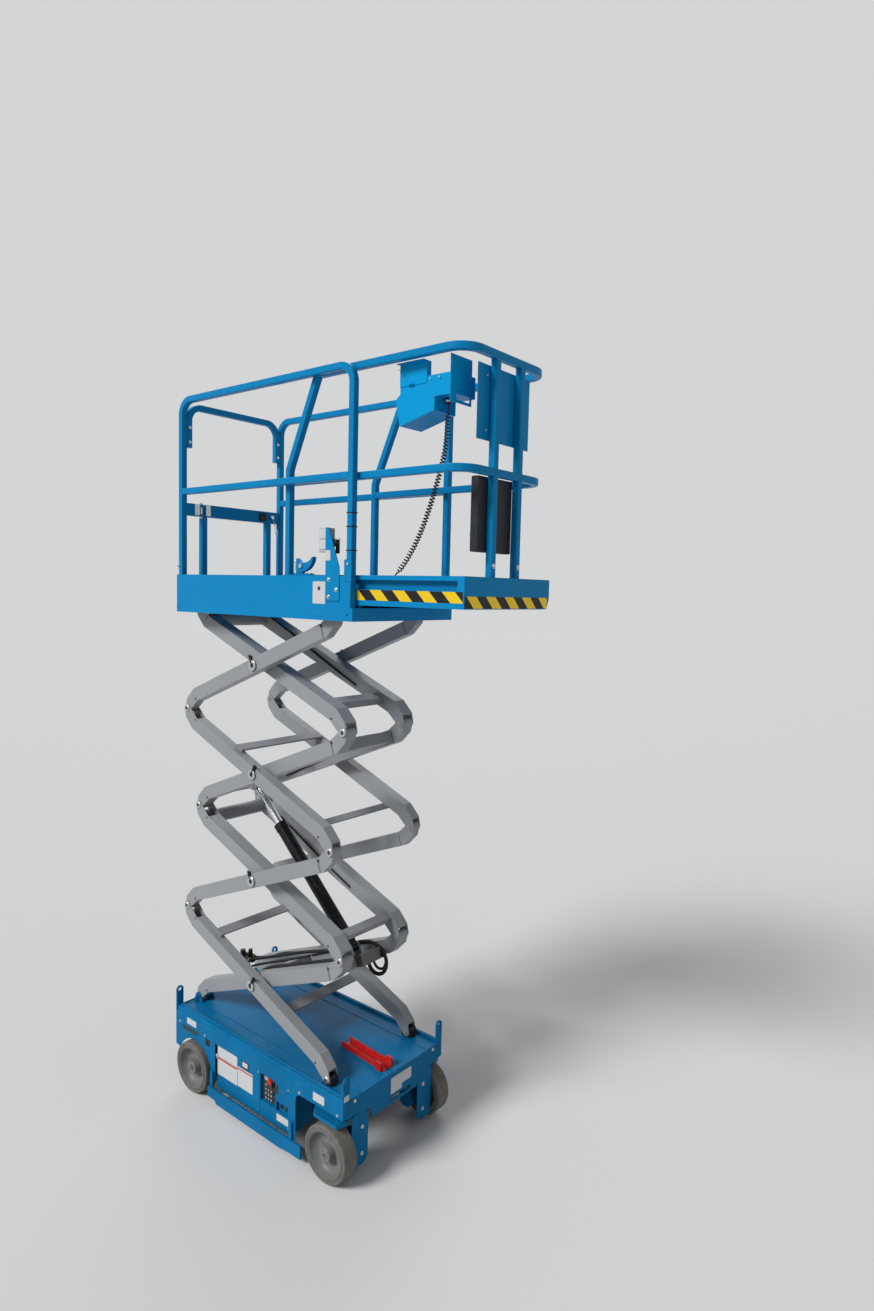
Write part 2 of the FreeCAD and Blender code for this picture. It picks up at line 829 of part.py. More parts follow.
def wheelParts(x, side):
    # tyre and dished rim about an axle along Y; side is -1 for the near side
    tyre = Part.makeCylinder(tyreRadius, tyreWidth, V(0, 0, 0), V(0, 1, 0))
    tyre = tyre.makeFillet(tyreCorner, [e for e in tyre.Edges if e.Curve.TypeId == "Part::GeomCircle"])
    tyre = tyre.cut(Part.makeCylinder(rimRadius, tyreWidth, V(0, 0, 0), V(0, 1, 0)))
    back = rimDish + rimWall
    profile = [(hubBore, 0), (hubRadius, 0), (hubRadius, rimDish), (rimRadius - rimLip, rimDish),
               (rimRadius - rimWall - 2, 3), (rimRadius, 3), (rimRadius, tyreWidth - 3),
               (rimRadius - rimWall, tyreWidth - 3), (rimRadius - rimWall, back + 6),
               (hubRadius, back), (hubRadius, tyreWidth - 4), (hubBore, tyreWidth - 4)]
    wire = Part.makePolygon([V(r, d, 0) for r, d in profile + profile[:1]])
    rim = Part.Face(wire).revolve(V(0, 0, 0), V(0, 1, 0), 360)
    shapes = []
    for shape in (tyre, rim):
        shape.translate(V(0, -wheelFace, 0))
        if side > 0:
            shape = otherSide(shape)
        shape.translate(V(x, 0, tyreRadius))
        shapes.append(shape)
    return shapes


def rearAxle():
    # fixed stub axles on two hanger plates, tied by a box beam
    y0 = -wheelBack + 8
    hanger = box(rearAxleX - 0.5 * hangerLength, rearAxleX + 0.5 * hangerLength, y0, y0 + hangerPlate,
                 hangerBottom, deckUnder - faceGap)
    stub = rodY(rearAxleX, tyreRadius, axleRadius, -wheelFace + 1, y0)
    near = join([hanger, stub])
    beam = boxTube(rearAxleX - 0.5 * axleBeamWidth, rearAxleX + 0.5 * axleBeamWidth, y0 + hangerPlate,
                   -y0 - hangerPlate, 180, 180 + axleBeamDepth, beamWall, "Y")
    return join([near, otherSide(near), beam])


def steerYoke(side):
    # hanger plate, fender, kingpin, drive motor with its guard plate, and steering arm
    y0 = -wheelBack + 8
    half = 0.5 * yokeLength
    x = steerAxleX
    guard = box(x + motorGuardX, x + motorGuardX + sheet, y0, -motorGuardInner, motorGuardBottom, yokeTop)
    inner = [e for e in guard.Edges if e.BoundBox.YMin > -motorGuardInner - 1 and e.BoundBox.XLength > 1]
    guard = guard.makeFillet(motorGuardCorner, inner)
    fender = [(x - 110, -kingpinY - 6), (x - 118, -wheelFace + 45), (x - 90, -wheelFace + 12),
              (x + 70, -wheelFace + 12), (x + motorGuardX + 5, -kingpinY - 10),
              (x + motorGuardX + 5, -kingpinY + 20), (x + half, -kingpinY + kingpinRadius),
              (x - half, -kingpinY + kingpinRadius)]
    arm = box(x - steerArm - 0.5 * steerArmWidth, x - half + 1, -kingpinY - 0.5 * steerArmWidth,
              -kingpinY + 0.5 * steerArmWidth, yokeTop - 16, yokeTop)
    shapes = [rodZ(x, -kingpinY, kingpinRadius, kingpinBottom, kingpinTop),
              box(x - half, x + half, y0, y0 + yokePlate, hangerBottom, yokeTop),
              box(x - half, x + half, y0, -kingpinY + kingpinRadius, yokeTop - 20, yokeTop),
              rodY(x, tyreRadius, axleRadius, -wheelFace + 1, y0),
              plateXY(fender, yokeTop - fenderSheet, yokeTop),
              rodY(x, tyreRadius, motorRadius, y0 + yokePlate, -motorInboard),
              guard,
              arm,
              rodZ(x - steerArm, -kingpinY, tieRodPin, tieRodZ - 0.5 * tieRodSize - 4, yokeTop - 14),
              rodZ(x - steerArm, -kingpinY, tieRodPin + 3, tieRodZ + 0.5 * tieRodSize + sideGap, yokeTop - 15)]
    yoke = join(shapes)
    return yoke if side < 0 else otherSide(yoke)


def kingpinHousings():
    shell = rodZ(steerAxleX, -kingpinY, kingpinRadius + housingWall, housingBottom, deckUnder - faceGap)
    shell = shell.cut(rodZ(steerAxleX, -kingpinY, kingpinRadius + runningGap, housingBottom - 1, kingpinTop + 2))
    return bothSides(shell)


def tieRod():
    # bar with an eye on the pin of each steering arm
    x = steerAxleX - steerArm
    z0, z1 = tieRodZ - 0.5 * tieRodSize, tieRodZ + 0.5 * tieRodSize
    half = 0.5 * tieRodSize
    shapes = [box(x - half, x + half, -kingpinY, kingpinY, z0, z1)]
    for y in (-kingpinY, kingpinY):
        shapes.append(rodZ(x, y, tieRodEye, z0, z1))
    rod = join(shapes)
    for y in (-kingpinY, kingpinY):
        rod = rod.cut(rodZ(x, y, tieRodPin + runningGap, z0, z1))
    return rod


def safetyArm():
    # folded channel lying on the deck, with a wider fork at its front end
    x0, x1 = 290.0, 622.0
    half, depth, wall = 32.0, 34.0, 4.0
    arm = box(x0, x1, -half, half, deckTop, deckTop + depth)
    arm = arm.cut(box(x0, x1, -half + wall, half - wall, deckTop + wall, deckTop + depth))
    cheeks = [box(x1 - 46, x1 - 6, s * (half + 6) - 6, s * (half + 6) + 6, deckTop, deckTop + depth + 12)
              for s in (1, -1)]
    arm = join([arm] + cheeks)
    arm.rotate(V(x0, 0, 0), V(0, 0, 1), -4.0)
    return arm


def platformDeck():
    half = halfPlatform
    inner = half - toeSheet
    trayFront = platformFront + frontTray
    floor = box(platformRear + toeSheet, trayFront - toeSheet, -inner, inner, floorUnder, floorTop)
    side = box(platformRear, platformFront, -half, -inner, sideBottom, toeTop)
    wing = box(platformFront - 1, trayFront - toeSheet, -half, -inner, sideBottom, floorTop)
    rear = box(platformRear, platformRear + toeSheet, -half, half, sideBottom + rearLift, toeTop - rearDrop)
    front = box(trayFront - toeSheet, trayFront, -half, half, sideBottom, floorTop)
    runner = box(platformRear + toeSheet, platformFront - toeSheet, -runnerY - 0.5 * runnerWidth,
                 -runnerY + 0.5 * runnerWidth, floorTop, extBottom - faceGap)
    eyeNear = innerNear + armWall + sideGap
    eyeFar = innerNear + innerArmWidth - armWall - sideGap
    lug = join([rodY(pivotX, topPinZ, bossRadius, eyeNear, eyeFar),
                box(pivotX - bossRadius, pivotX + bossRadius, eyeNear, eyeFar, topPinZ, floorUnder)])
    lug = lug.cut(rodY(pivotX, topPinZ, pinRadius + runningGap, eyeNear, eyeFar))
    shapes = [floor, rear, front]
    for shape in (side, wing, runner, lug):
        shapes += [shape, otherSide(shape)]
    return join(shapes)


def mainRails():
    # a bent loop with a middle rail on each side, and the gate's fixed stub
    half = 0.5 * railTube
    path = [V(postRear, -postY, floorTop), V(postRear, -postY, topRailZ),
            V(postFront, -postY, topRailZ), V(postFront, -postY, floorTop)]
    loop = squareTube(path, railBend, railTube, railWall, V(0, 1, 0))
    rail = boxTube(postRear + half, postFront - half, -postY - half, -postY + half,
                   midRailZ - half, midRailZ + half, railWall, "X")
    near = join([loop, rail])
    beamLow = gateBeamTop - gateBeamDepth
    end = gateHingeY - gateRoot
    stub = [boxTube(postRear - 0.5 * gateBeam, postRear + 0.5 * gateBeam, -postY + half, end,
                    beamLow, gateBeamTop, gateWall, "Y"),
            box(postRear - 0.5 * gateBeam, postRear + 0.5 * gateBeam, end - gateWall, end, beamLow, gateBeamTop)]
    for z in (beamLow, gateBeamTop - knuckleHeight):
        knuckle = join([rodZ(postRear, gateHingeY, gateKnuckle, z, z + knuckleHeight),
                        box(postRear - 4, postRear + 4, end - 1, gateHingeY, z, z + knuckleHeight)])
        stub.append(knuckle.cut(rodZ(postRear, gateHingeY, gateHingeRadius + runningGap, z, z + knuckleHeight)))
    return group([join([near] + stub), otherSide(near)])


def rearHoop():
    # inverted U between the rear posts
    y = postY - railTube
    top = topRailZ - hoopDrop
    low = top - hoopLeg
    path = [V(postRear, -y, low), V(postRear, -y, top), V(postRear, y, top), V(postRear, y, low)]
    return squareTube(path, railBend, railTube, railWall, V(1, 0, 0))


def swingGate():
    # beam with two legs and a foot rail, swinging in on a vertical pin beside the stub
    x0, x1 = postRear - 0.5 * gateBeam, postRear + 0.5 * gateBeam
    beamStart = gateHingeY + gateRoot
    beamEnd = postY - 0.5 * railTube - gateGap
    beamLow = gateBeamTop - gateBeamDepth
    beam = boxTube(x0, x1, beamStart, beamEnd, beamLow, gateBeamTop, gateWall, "Y")
    cap = box(x0, x1, beamStart, beamStart + gateWall, beamLow, gateBeamTop)
    low = toeTop + gateFootRise
    half = 0.5 * gateLeg
    legTop = beamLow - gateGap
    legs = [boxTube(postRear - half, postRear + half, y - half, y + half, low + gateLeg, top, 2.0, "Z")
            for y, top in ((gateLegNear, legTop), (gateLegFar, beamLow))]
    lid = box(postRear - half, postRear + half, gateLegNear - half, gateLegNear + half, legTop - gateWall, legTop)
    neck = box(x0, x1, beamStart, gateLegNear + half, legTop - 1, beamLow)
    foot = box(postRear - half, postRear + half, gateLegNear - half, gateLegFar + half, low, low + gateLeg)
    hinge = rodZ(postRear, gateHingeY, gateHingeRadius, legTop - gateWall, gateBeamTop + 6)
    free = knuckleHeight + sideGap
    link = box(postRear - 4, postRear + 4, gateHingeY, beamStart + 1, beamLow + free, gateBeamTop - free)
    return join([beam, cap, lid, neck, foot, hinge, link] + legs)


def extensionDeck():
    # floor with a deep channel along each side and a wider end plate
    x0, x1 = extRear, extFront - extSheet
    floor = box(x0, x1, -halfExt, halfExt, extBottom, extBottom + extSheet)
    outer, web = -halfExt, -halfExt + extFlange
    bandTop, lipLow = extBottom + extBand, extTop - extLip
    profile = [(web, extBottom), (web, extTop), (outer, extTop), (outer, lipLow), (outer + extSheet, lipLow),
               (outer + extSheet, extTop - extSheet), (web - extSheet, extTop - extSheet),
               (web - extSheet, extBottom + extSheet), (outer + extSheet, extBottom + extSheet),
               (outer + extSheet, bandTop), (outer, bandTop), (outer, extBottom)]
    end = box(x1 - extBandFront, x1, outer, outer + extSheet, bandTop - 1, lipLow + 1)
    channel = join([plateYZ(profile, x0, x1), end])
    front = plateYZ([(-halfExt, extBottom), (halfExt, extBottom), (halfExt + extNose, extBottom + 50),
                     (halfExt + extNose, extTop), (-halfExt, extTop)], extFront - extSheet, extFront)
    return join([floor, channel, otherSide(channel), front])


def extensionRails():
    # legs that lean in at the rear, a top and a middle hoop round the front, two posts
    half = 0.5 * extRailTube
    y = extRailY
    knee = midRailZ + extLegRise
    low = boxTube(extLegX - half, extLegX + half, -y - half, -y + half, extTop, knee - 2, railWall, "Z")
    slant = squareTube([V(extLegX, -y, knee - 22), V(extLegX, -y, knee), V(extLegX + extSlant, -y, topRailZ)],
                       20, extRailTube, railWall, V(0, 1, 0))
    back = extLegX + extSlant - 10
    hoops = []
    for z, start in ((topRailZ, back), (midRailZ, extLegX + half)):
        path = [V(start, -y, z), V(extHoopX, -y, z), V(extHoopX, y, z), V(start, y, z)]
        hoops.append(squareTube(path, extRailBend, extRailTube, railWall, V(0, 0, 1)))
    posts = [boxTube(extHoopX - half, extHoopX + half, py - half, py + half, extBottom + extSheet,
                     topRailZ - half, railWall, "Z") for py in (-extPostY, extPostY)]
    return join([low, slant, otherSide(low), otherSide(slant)] + hoops + posts)


def controlBox():
    # folded box hooked on the near top rail, with a stepped lower front and a guard plate
    y0, y1 = -boxInner, -boxInner + boxDepth
    railFace = -extRailY + 0.5 * extRailTube
    shelf = boxTop - boxStepRise
    side = [(boxRear, boxTop), (boxRear, boxTop - 60), (boxRear - 28, boxTop - 82), (boxRear, boxTop - 200),
            (boxFront - boxStep, boxTop - 150), (boxFront - boxStep, shelf), (boxFront, shelf),
            (boxFront, boxTop)]
    body = plateXZ(side, y0, y1)
    top = topRailZ - hookDrop
    hook = box(boxRear, boxHook, y0 - boxSheet, y0, boxTop - hookLap, top)
    fold = box(boxHook - boxSheet, boxHook, y0 - boxSheet, y0 + hookFold, boxTop, top)
    seat = box(boxRear, boxHook, railFace + faceGap, y0, top - boxSheet, top)
    ledge = box(boxRear + ledgeStart, boxRear + ledgeEnd, y0 - ledgeDepth, y0, boxTop - 28, boxTop - 25)
    guard = box(boxFront, boxFront + boxSheet, railFace + faceGap, y1 - 30, boxTop - guardDrop, top)
    frame = 12.0
    low = boxTop - guardDrop + frame
    window = box(boxFront, boxFront + boxSheet, y0 + frame, y1 - 30 - frame, low, low + guardWindow)
    return join([body, hook, fold, seat, ledge, guard.cut(window)])


def manualBox():
    # closed document case hung between the front posts
    x1 = extHoopX - 0.5 * extRailTube - faceGap
    case = box(x1 - caseDepth, x1, caseNear, caseFar, caseLow, midRailZ - 0.5 * extRailTube - 2)
    return case.makeFillet(caseCorner, [e for e in case.Edges if abs(e.CenterOfMass.x - x1 + caseDepth) < 1])


def frontSheet():
    x1 = extHoopX - 0.5 * extRailTube - faceGap
    return box(x1 - toeSheet, x1, -sheetHalf, sheetHalf, sheetLow, sheetHigh)


def outletBracket():
    # tall tapering plate on the outside of the platform's side
    y = -halfPlatform
    return plateXZ([(481, 2862), (576, 2862), (574, 3020), (500, 3206), (481, 3206)], y - 5, y)


def outletBox():
    y = -halfPlatform
    return box(429, 487, y + faceGap, y + 50, 3091, 3206)


def footPedal():
    # pedal on the channel's top flange that unlocks the slide-out deck
    y0, y1 = -halfExt + 6, -halfExt + 30
    base = box(192, 322, y0, y1, extTop, extTop + 6)
    lever = plateXZ([(206, extTop + 6), (236, extTop + 6), (262, extTop + 36), (322, extTop + 78),
                     (322, extTop + 86), (250, extTop + 50), (206, extTop + 40)], y0 + 6, y1 - 6)
    knob = rodZ(206, 0.5 * (y0 + y1), 9, extTop + 6, extTop + 88)
    return join([base, lever, knob])


def cordGland():
    top = coilRoute[0]
    return rodZ(top.x, top.y, 0.5 * coilDiameter + 3, top.z, top.z + 22)


def cordSocket():
    end, before = coilRoute[-1], coilRoute[-2]
    along = (end - before).normalize()
    radius = 0.5 * coilDiameter + 3
    neck = Part.makeCylinder(radius, socketNeck, end, along)
    foot = end + along * socketNeck
    housing = box(foot.x - 6, foot.x - 6 + socketFoot, end.y - radius - 2, end.y + radius + 2,
                  extBottom + extSheet, foot.z + 8)
    return join([neck, housing])


def coilCord():
    # the curly cord's outer form, swept along straight runs and tangent arcs
    edges = []
    start = coilRoute[0]
    for before, point, after in zip(coilRoute, coilRoute[1:], coilRoute[2:]):
        back, ahead = before - point, after - point
        half = 0.5 * back.getAngle(ahead)
        reach = 0.45 * min(back.Length, ahead.Length)
        radius = reach * math.tan(half)
        print("cord bend radius", round(radius, 1))
        back.normalize()
        ahead.normalize()
        crown = point + (back + ahead).normalize() * (radius / math.sin(half) - radius)
        enter, leave = point + back * reach, point + ahead * reach
        edges.append(Part.LineSegment(start, enter).toShape())
        edges.append(Part.Arc(enter, crown, leave).toShape())
        start = leave
    edges.append(Part.LineSegment(start, coilRoute[-1]).toShape())
    path = Part.Wire(edges)
    first = (coilRoute[1] - coilRoute[0]).normalize()
    ring = Part.Wire([Part.Circle(coilRoute[0], first, 0.5 * coilDiameter).toShape()])
    tube = path.makePipeShell([ring], True, False)
    section = math.pi * (0.5 * coilDiameter) ** 2
    print("cord volume over section times length", round(tube.Volume / (section * path.Length), 4))
    return tube


def place(shape):
    shape = shape.copy()
    shape.translate(V(-originX, 0, 0))
    return shape


def build():
    nodes = {}
    nodes["chassis_frame"] = chassisFrame()
    nodes["side_rails"] = sideRails()
    nodes["frame_beams"] = frameBeams()
    nodes["pivot_brackets"] = pivotBrackets()
    nodes["side_module_near"] = sideModule(True)
    nodes["side_module_far"] = sideModule(False)
    nodes["power_block"] = powerBlock()
    nodes["ground_panel"] = groundPanel()
    nodes["guard_near"] = guardBar(-1)
    nodes["guard_far"] = guardBar(1)
    nodes["rear_axle"] = rearAxle()
    nodes["kingpin_housings"] = kingpinHousings()
    nodes["safety_arm"] = safetyArm()
    for name, x, side in (("rear_near", rearAxleX, -1), ("rear_far", rearAxleX, 1),
                          ("front_near", steerAxleX, -1), ("front_far", steerAxleX, 1)):
        nodes["tyre_" + name], nodes["rim_" + name] = wheelParts(x, side)
    nodes["yoke_near"] = steerYoke(-1)
    nodes["yoke_far"] = steerYoke(1)
    nodes["tie_rod"] = tieRod()
    for level in range(1, levels + 1):
        nodes["inner_arms_%d" % level] = innerArms(level)
        nodes["outer_arms_%d" % level] = outerArms(level)
    for level in sorted({row[0] for row in innerTies}):
        nodes["inner_ties_%d" % level] = innerTieNode(level)
    for level in sorted({row[0] for row in outerTies}):
        nodes["outer_ties_%d" % level] = outerTieSet(level)
    nodes["lift_barrel"], nodes["lift_rod"] = liftCylinder()
    nodes["valve_block"] = valveBlock()
    nodes["hose_bundle"] = hoseBundle()
    nodes["lower_pads"] = lowerPads()
    nodes["upper_pads"] = upperPads()
    nodes["platform_deck"] = platformDeck()
    nodes["main_rails"] = mainRails()
    nodes["rear_hoop"] = rearHoop()
    nodes["swing_gate"] = swingGate()
    nodes["outlet_bracket"] = outletBracket()
    nodes["outlet_box"] = outletBox()
    nodes["extension_deck"] = extensionDeck()
    nodes["extension_rails"] = extensionRails()
    nodes["control_box"] = controlBox()
    nodes["manual_box"] = manualBox()
    nodes["front_sheet"] = frontSheet()
    nodes["foot_pedal"] = footPedal()
    nodes["cord_gland"] = cordGland()
    nodes["cord_socket"] = cordSocket()
    nodes["coil_cord"] = coilCord()
    return nodes


if __name__ == "__main__":
    os.makedirs("parts", exist_ok=True)
    for name, shape in build().items():
        place(shape).exportStep("parts/%s.step" % name)
        print(name, len(shape.Solids), round(shape.Volume / 1000.0, 1))
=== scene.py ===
import bpy
import json
import math
from mathutils import Matrix, Vector

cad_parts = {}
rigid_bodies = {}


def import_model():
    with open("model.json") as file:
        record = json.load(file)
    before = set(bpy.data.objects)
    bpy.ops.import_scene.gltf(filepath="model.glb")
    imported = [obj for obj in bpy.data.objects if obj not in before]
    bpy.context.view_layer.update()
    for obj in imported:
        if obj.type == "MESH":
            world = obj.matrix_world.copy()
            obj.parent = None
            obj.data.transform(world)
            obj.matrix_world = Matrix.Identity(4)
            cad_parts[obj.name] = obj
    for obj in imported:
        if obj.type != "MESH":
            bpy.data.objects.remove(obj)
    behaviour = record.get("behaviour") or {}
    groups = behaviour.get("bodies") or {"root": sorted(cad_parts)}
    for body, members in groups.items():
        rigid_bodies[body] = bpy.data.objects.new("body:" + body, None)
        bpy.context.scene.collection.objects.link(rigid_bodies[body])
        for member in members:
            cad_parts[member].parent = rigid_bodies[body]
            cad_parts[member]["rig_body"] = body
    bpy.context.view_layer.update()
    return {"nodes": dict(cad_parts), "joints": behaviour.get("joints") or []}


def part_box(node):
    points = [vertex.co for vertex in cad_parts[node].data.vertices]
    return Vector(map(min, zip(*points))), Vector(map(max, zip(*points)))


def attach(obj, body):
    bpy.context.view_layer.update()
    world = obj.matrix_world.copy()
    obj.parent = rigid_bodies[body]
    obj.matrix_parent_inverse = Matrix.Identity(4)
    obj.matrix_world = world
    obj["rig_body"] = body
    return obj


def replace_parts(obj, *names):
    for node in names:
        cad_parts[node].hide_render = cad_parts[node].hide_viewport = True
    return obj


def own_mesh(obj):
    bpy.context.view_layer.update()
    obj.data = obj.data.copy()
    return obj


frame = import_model()
print("frame loaded:", len(frame["nodes"]), "nodes")

# Places are in metres. Distances along the machine are counted from the middle of the wheelbase.
wheelBoxes = [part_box("tyre_rear_near"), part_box("tyre_front_near")]
wheelX = [0.5 * (low.x + high.x) for low, high in wheelBoxes]
wheelZ = 0.5 * (wheelBoxes[0][0].z + wheelBoxes[0][1].z)
midX = 0.5 * sum(wheelX)
railLow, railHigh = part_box("main_rails")
extLow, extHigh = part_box("extension_deck")
jointPlace = {j["name"]: Vector(j["pos_m"]) for j in frame["joints"] if "pos_m" in j}
sides = ((-1, "near"), (1, "far"))
steered = ((-1, "steer_near"), (1, "steer_far"))
nearward, forward = (0, -1, 0), (1, 0, 0)


def at(x, y, z):
    return Vector((midX + x, y, z))


def feed(tree, node, sockets):
    # a node's inputs, set to values or linked to other nodes' outputs
    for key, value in sockets.items():
        if isinstance(value, bpy.types.NodeSocket):
            tree.links.new(value, node.inputs[key])
        else:
            node.inputs[key].default_value = value


def addNode(tree, kind, sockets=None, **settings):
    node = tree.nodes.new(kind)
    for key, value in settings.items():
        setattr(node, key, value)
    feed(tree, node, sockets or {})
    return node


def addMath(tree, operation, *values, clamp=False):
    inputs = dict(enumerate(values))
    return addNode(tree, "ShaderNodeMath", inputs, operation=operation, use_clamp=clamp).outputs[0]


def addMix(tree, factor, first, second, blend="MIX"):
    inputs = {"Factor": factor, "A": first, "B": second}
    return addNode(tree, "ShaderNodeMix", inputs, data_type="RGBA", blend_type=blend).outputs["Result"]


def addNoise(tree, place, scale, detail):
    inputs = {"Vector": place, "Scale": scale, "Detail": detail}
    return addNode(tree, "ShaderNodeTexNoise", inputs).outputs["Fac"]


def addRange(tree, value, low, high):
    inputs = {"Value": value, "From Min": low, "From Max": high}
    return addNode(tree, "ShaderNodeMapRange", inputs).outputs["Result"]


def newGroup(name, inputs, outputs):
    group = bpy.data.node_groups.new(name, "ShaderNodeTree")
    for title, kind, value in inputs:
        socket = group.interface.new_socket(name=title, in_out="INPUT", socket_type="NodeSocket" + kind)
        socket.default_value = value
    for title, kind in outputs:
        group.interface.new_socket(name=title, in_out="OUTPUT", socket_type="NodeSocket" + kind)
    return group, group.nodes.new("NodeGroupInput").outputs, group.nodes.new("NodeGroupOutput")


wearSizes = dict(broad=2.3, fine=38.0, streak=1.6, stretch=(6.0, 60.0, 160.0), turn=(0.3, 0.5, 0.2),
                 bare=(0.45, 0.46, 0.47, 1), driftGain=4.0, roughGain=0.22)


def paintWearGroup():
    # two sizes of colour drift, fine scratches and patches of dust
    group, given, result = newGroup(
        "paintWear",
        [("Colour", "Color", (0.5, 0.5, 0.5, 1)), ("Dust Colour", "Color", (0.3, 0.28, 0.25, 1)),
         ("Drift", "Float", 0.08), ("Dust", "Float", 0.15), ("Scratches", "Float", 0.2),
         ("Roughness", "Float", 0.4)],
        [("Colour", "Color"), ("Roughness", "Float"), ("Height", "Float")])
    place = addNode(group, "ShaderNodeTexCoord").outputs["Object"]
    broad = addNoise(group, place, wearSizes["broad"], 5.0)
    fine = addNoise(group, place, wearSizes["fine"], 4.0)
    stretch = addNode(group, "ShaderNodeMapping",
                      {"Vector": place, "Scale": wearSizes["stretch"], "Rotation": wearSizes["turn"]})
    streak = addNoise(group, stretch.outputs["Vector"], wearSizes["streak"], 2.0)
    scratch = addMath(group, "MULTIPLY", addRange(group, streak, 0.66, 0.72), given["Scratches"])
    drift = addMath(group, "MULTIPLY", given["Drift"], wearSizes["driftGain"])
    amount = addMath(group, "MULTIPLY_ADD", addMath(group, "SUBTRACT", broad, 0.5), drift, 1.0)
    tone = addMix(group, 1.0, given["Colour"], amount, "MULTIPLY")
    spread = addMath(group, "MULTIPLY", addRange(group, fine, 0.42, 0.72), broad)
    dustMask = addMath(group, "MULTIPLY", spread, given["Dust"], clamp=True)
    dusty = addMix(group, dustMask, tone, given["Dust Colour"])
    feed(group, result, {
        "Colour": addMix(group, scratch, dusty, wearSizes["bare"]),
        "Roughness": addMath(group, "MULTIPLY_ADD", fine, wearSizes["roughGain"], given["Roughness"]),
        "Height": addMath(group, "SUBTRACT", fine, scratch)})
    return group


def slantedBarsGroup():
    # slanting bars of two colours along a chosen direction
    group, given, result = newGroup(
        "slantedBars",
        [("First", "Color", (0.8, 0.6, 0.02, 1)), ("Second", "Color", (0.01, 0.01, 0.01, 1)),
         ("Along", "Vector", (1, 0, 1)), ("Pitch", "Float", 0.13), ("Start", "Float", 0.0)],
        [("Colour", "Color")])
    place = addNode(group, "ShaderNodeTexCoord").outputs["Object"]
    reach = addNode(group, "ShaderNodeVectorMath", {0: place, 1: given["Along"]}, operation="DOT_PRODUCT")
    shifted = addMath(group, "SUBTRACT", reach.outputs["Value"], given["Start"])
    part = addMath(group, "FRACT", addMath(group, "DIVIDE", shifted, given["Pitch"]))
    half = addMath(group, "GREATER_THAN", part, 0.5)
    feed(group, result, {"Colour": addMix(group, half, given["First"], given["Second"])})
    return group


paintWear = paintWearGroup()
slantedBars = slantedBarsGroup()

# What a finish doesn't name is taken from usualPaint, usualMetal or usualTape.
usualPaint = dict(metallic=0.0, dust=0.06, drift=0.05, scratches=0.06, rough=0.28, grain=0.05, shine=0.20)
usualMetal = dict(usualPaint, metallic=1.0, scratches=0.10, shine=0.5)
usualTape = dict(usualPaint, dust=0.04, drift=0.04, scratches=0.10, rough=0.26, grain=0)
grainDepth = 0.0008
paints = {
    "chassisBlue": dict(colour=(0.0015, 0.132, 0.300), dust=0.035, drift=0.18, scratches=0.08, rough=0.22,
                        shine=0.04),
    "platformBlue": dict(colour=(0.0015, 0.205, 0.455), dust=0.02, scratches=0.05, rough=0.20, grain=0.04,
                         shine=0.08),
    "railBlue": dict(colour=(0.0015, 0.195, 0.430), dust=0.02, rough=0.20, grain=0.04, shine=0.08),
    "boxBlue": dict(colour=(0.0015, 0.290, 0.600), dust=0.01, drift=0.04, scratches=0.04, rough=0.20,
                    grain=0.04, shine=0.08),
    "armGrey": dict(colour=(0.250, 0.262, 0.275), drift=0.06, rough=0.26, shine=0.32),
    "tieGrey": dict(colour=(0.215, 0.225, 0.240), dust=0.08, drift=0.06, shine=0.32),
    "gearBlack": dict(colour=(0.014, 0.014, 0.016), dust=0.20, drift=0.10, scratches=0.10, rough=0.36,
                      grain=0.2),
    "safetyRed": dict(colour=(0.420, 0.012, 0.010), drift=0.08, scratches=0.15, rough=0.24, grain=0.06),
    "tyreGrey": dict(colour=(0.125, 0.121, 0.110), dust=0.45, drift=0.14, scratches=0.15, rough=0.66, grain=0.6),
    "rimGrey": dict(colour=(0.140, 0.147, 0.148), dust=0.20, drift=0.10, scratches=0.15, rough=0.26, grain=0.12),
    "barrelBlack": dict(colour=(0.006, 0.006, 0.007), dust=0.03, scratches=0.05, rough=0.06, grain=0.03),
    "hoseBlack": dict(colour=(0.010, 0.010, 0.011), scratches=0.0, rough=0.36, grain=0.2),
    "plasticBlack": dict(colour=(0.013, 0.013, 0.015), dust=0.08, scratches=0.08, rough=0.34, grain=0.2),
    "caseBlack": dict(colour=(0.020, 0.021, 0.026), dust=0.05, scratches=0.05, rough=0.34, grain=0.25),
    "outletGrey": dict(colour=(0.400, 0.410, 0.405), dust=0.12, drift=0.06, scratches=0.05, rough=0.36, grain=0.08),
    "labelWhite": dict(colour=(0.520, 0.535, 0.540), dust=0.08, drift=0.04, grain=0.03),
    "labelDark": dict(colour=(0.030, 0.034, 0.040), drift=0.04, grain=0.03),
    "labelRed": dict(colour=(0.480, 0.030, 0.020), drift=0.04, grain=0.03),
    "stopRed": dict(colour=(0.500, 0.018, 0.012), dust=0.03, drift=0.04, scratches=0.03, rough=0.20, grain=0.03),
    "keyGrey": dict(colour=(0.360, 0.340, 0.300), dust=0.05, drift=0.04, scratches=0.05, rough=0.30, grain=0.03),
}
metals = {
    "boltZinc": dict(colour=(0.62, 0.62, 0.60), rough=0.22, grain=0.1),
    "rodChrome": dict(colour=(0.78, 0.79, 0.80), rough=0.05, grain=0.02),
    "plateSteel": dict(colour=(0.30, 0.31, 0.31), rough=0.30, grain=0.15),
    "blockDark": dict(colour=(0.10, 0.10, 0.105), rough=0.34, grain=0.2),
    "brassFitting": dict(colour=(0.50, 0.38, 0.16), rough=0.28, grain=0.1),
}
sideBars = dict(Along=(1, 0, 1), Pitch=0.142, Start=midX + 3.358, First=(0.74, 0.50, 0.012, 1))
# painted light: the front tape's yellow is brighter than the same tape on the sides, standing in for light on the
# front face, which the lamps leave in shade
frontBarsPaintedLight = dict(Along=(0, 1, 1), Pitch=0.140, Start=2.59, First=(0.95, 0.66, 0.02, 1))
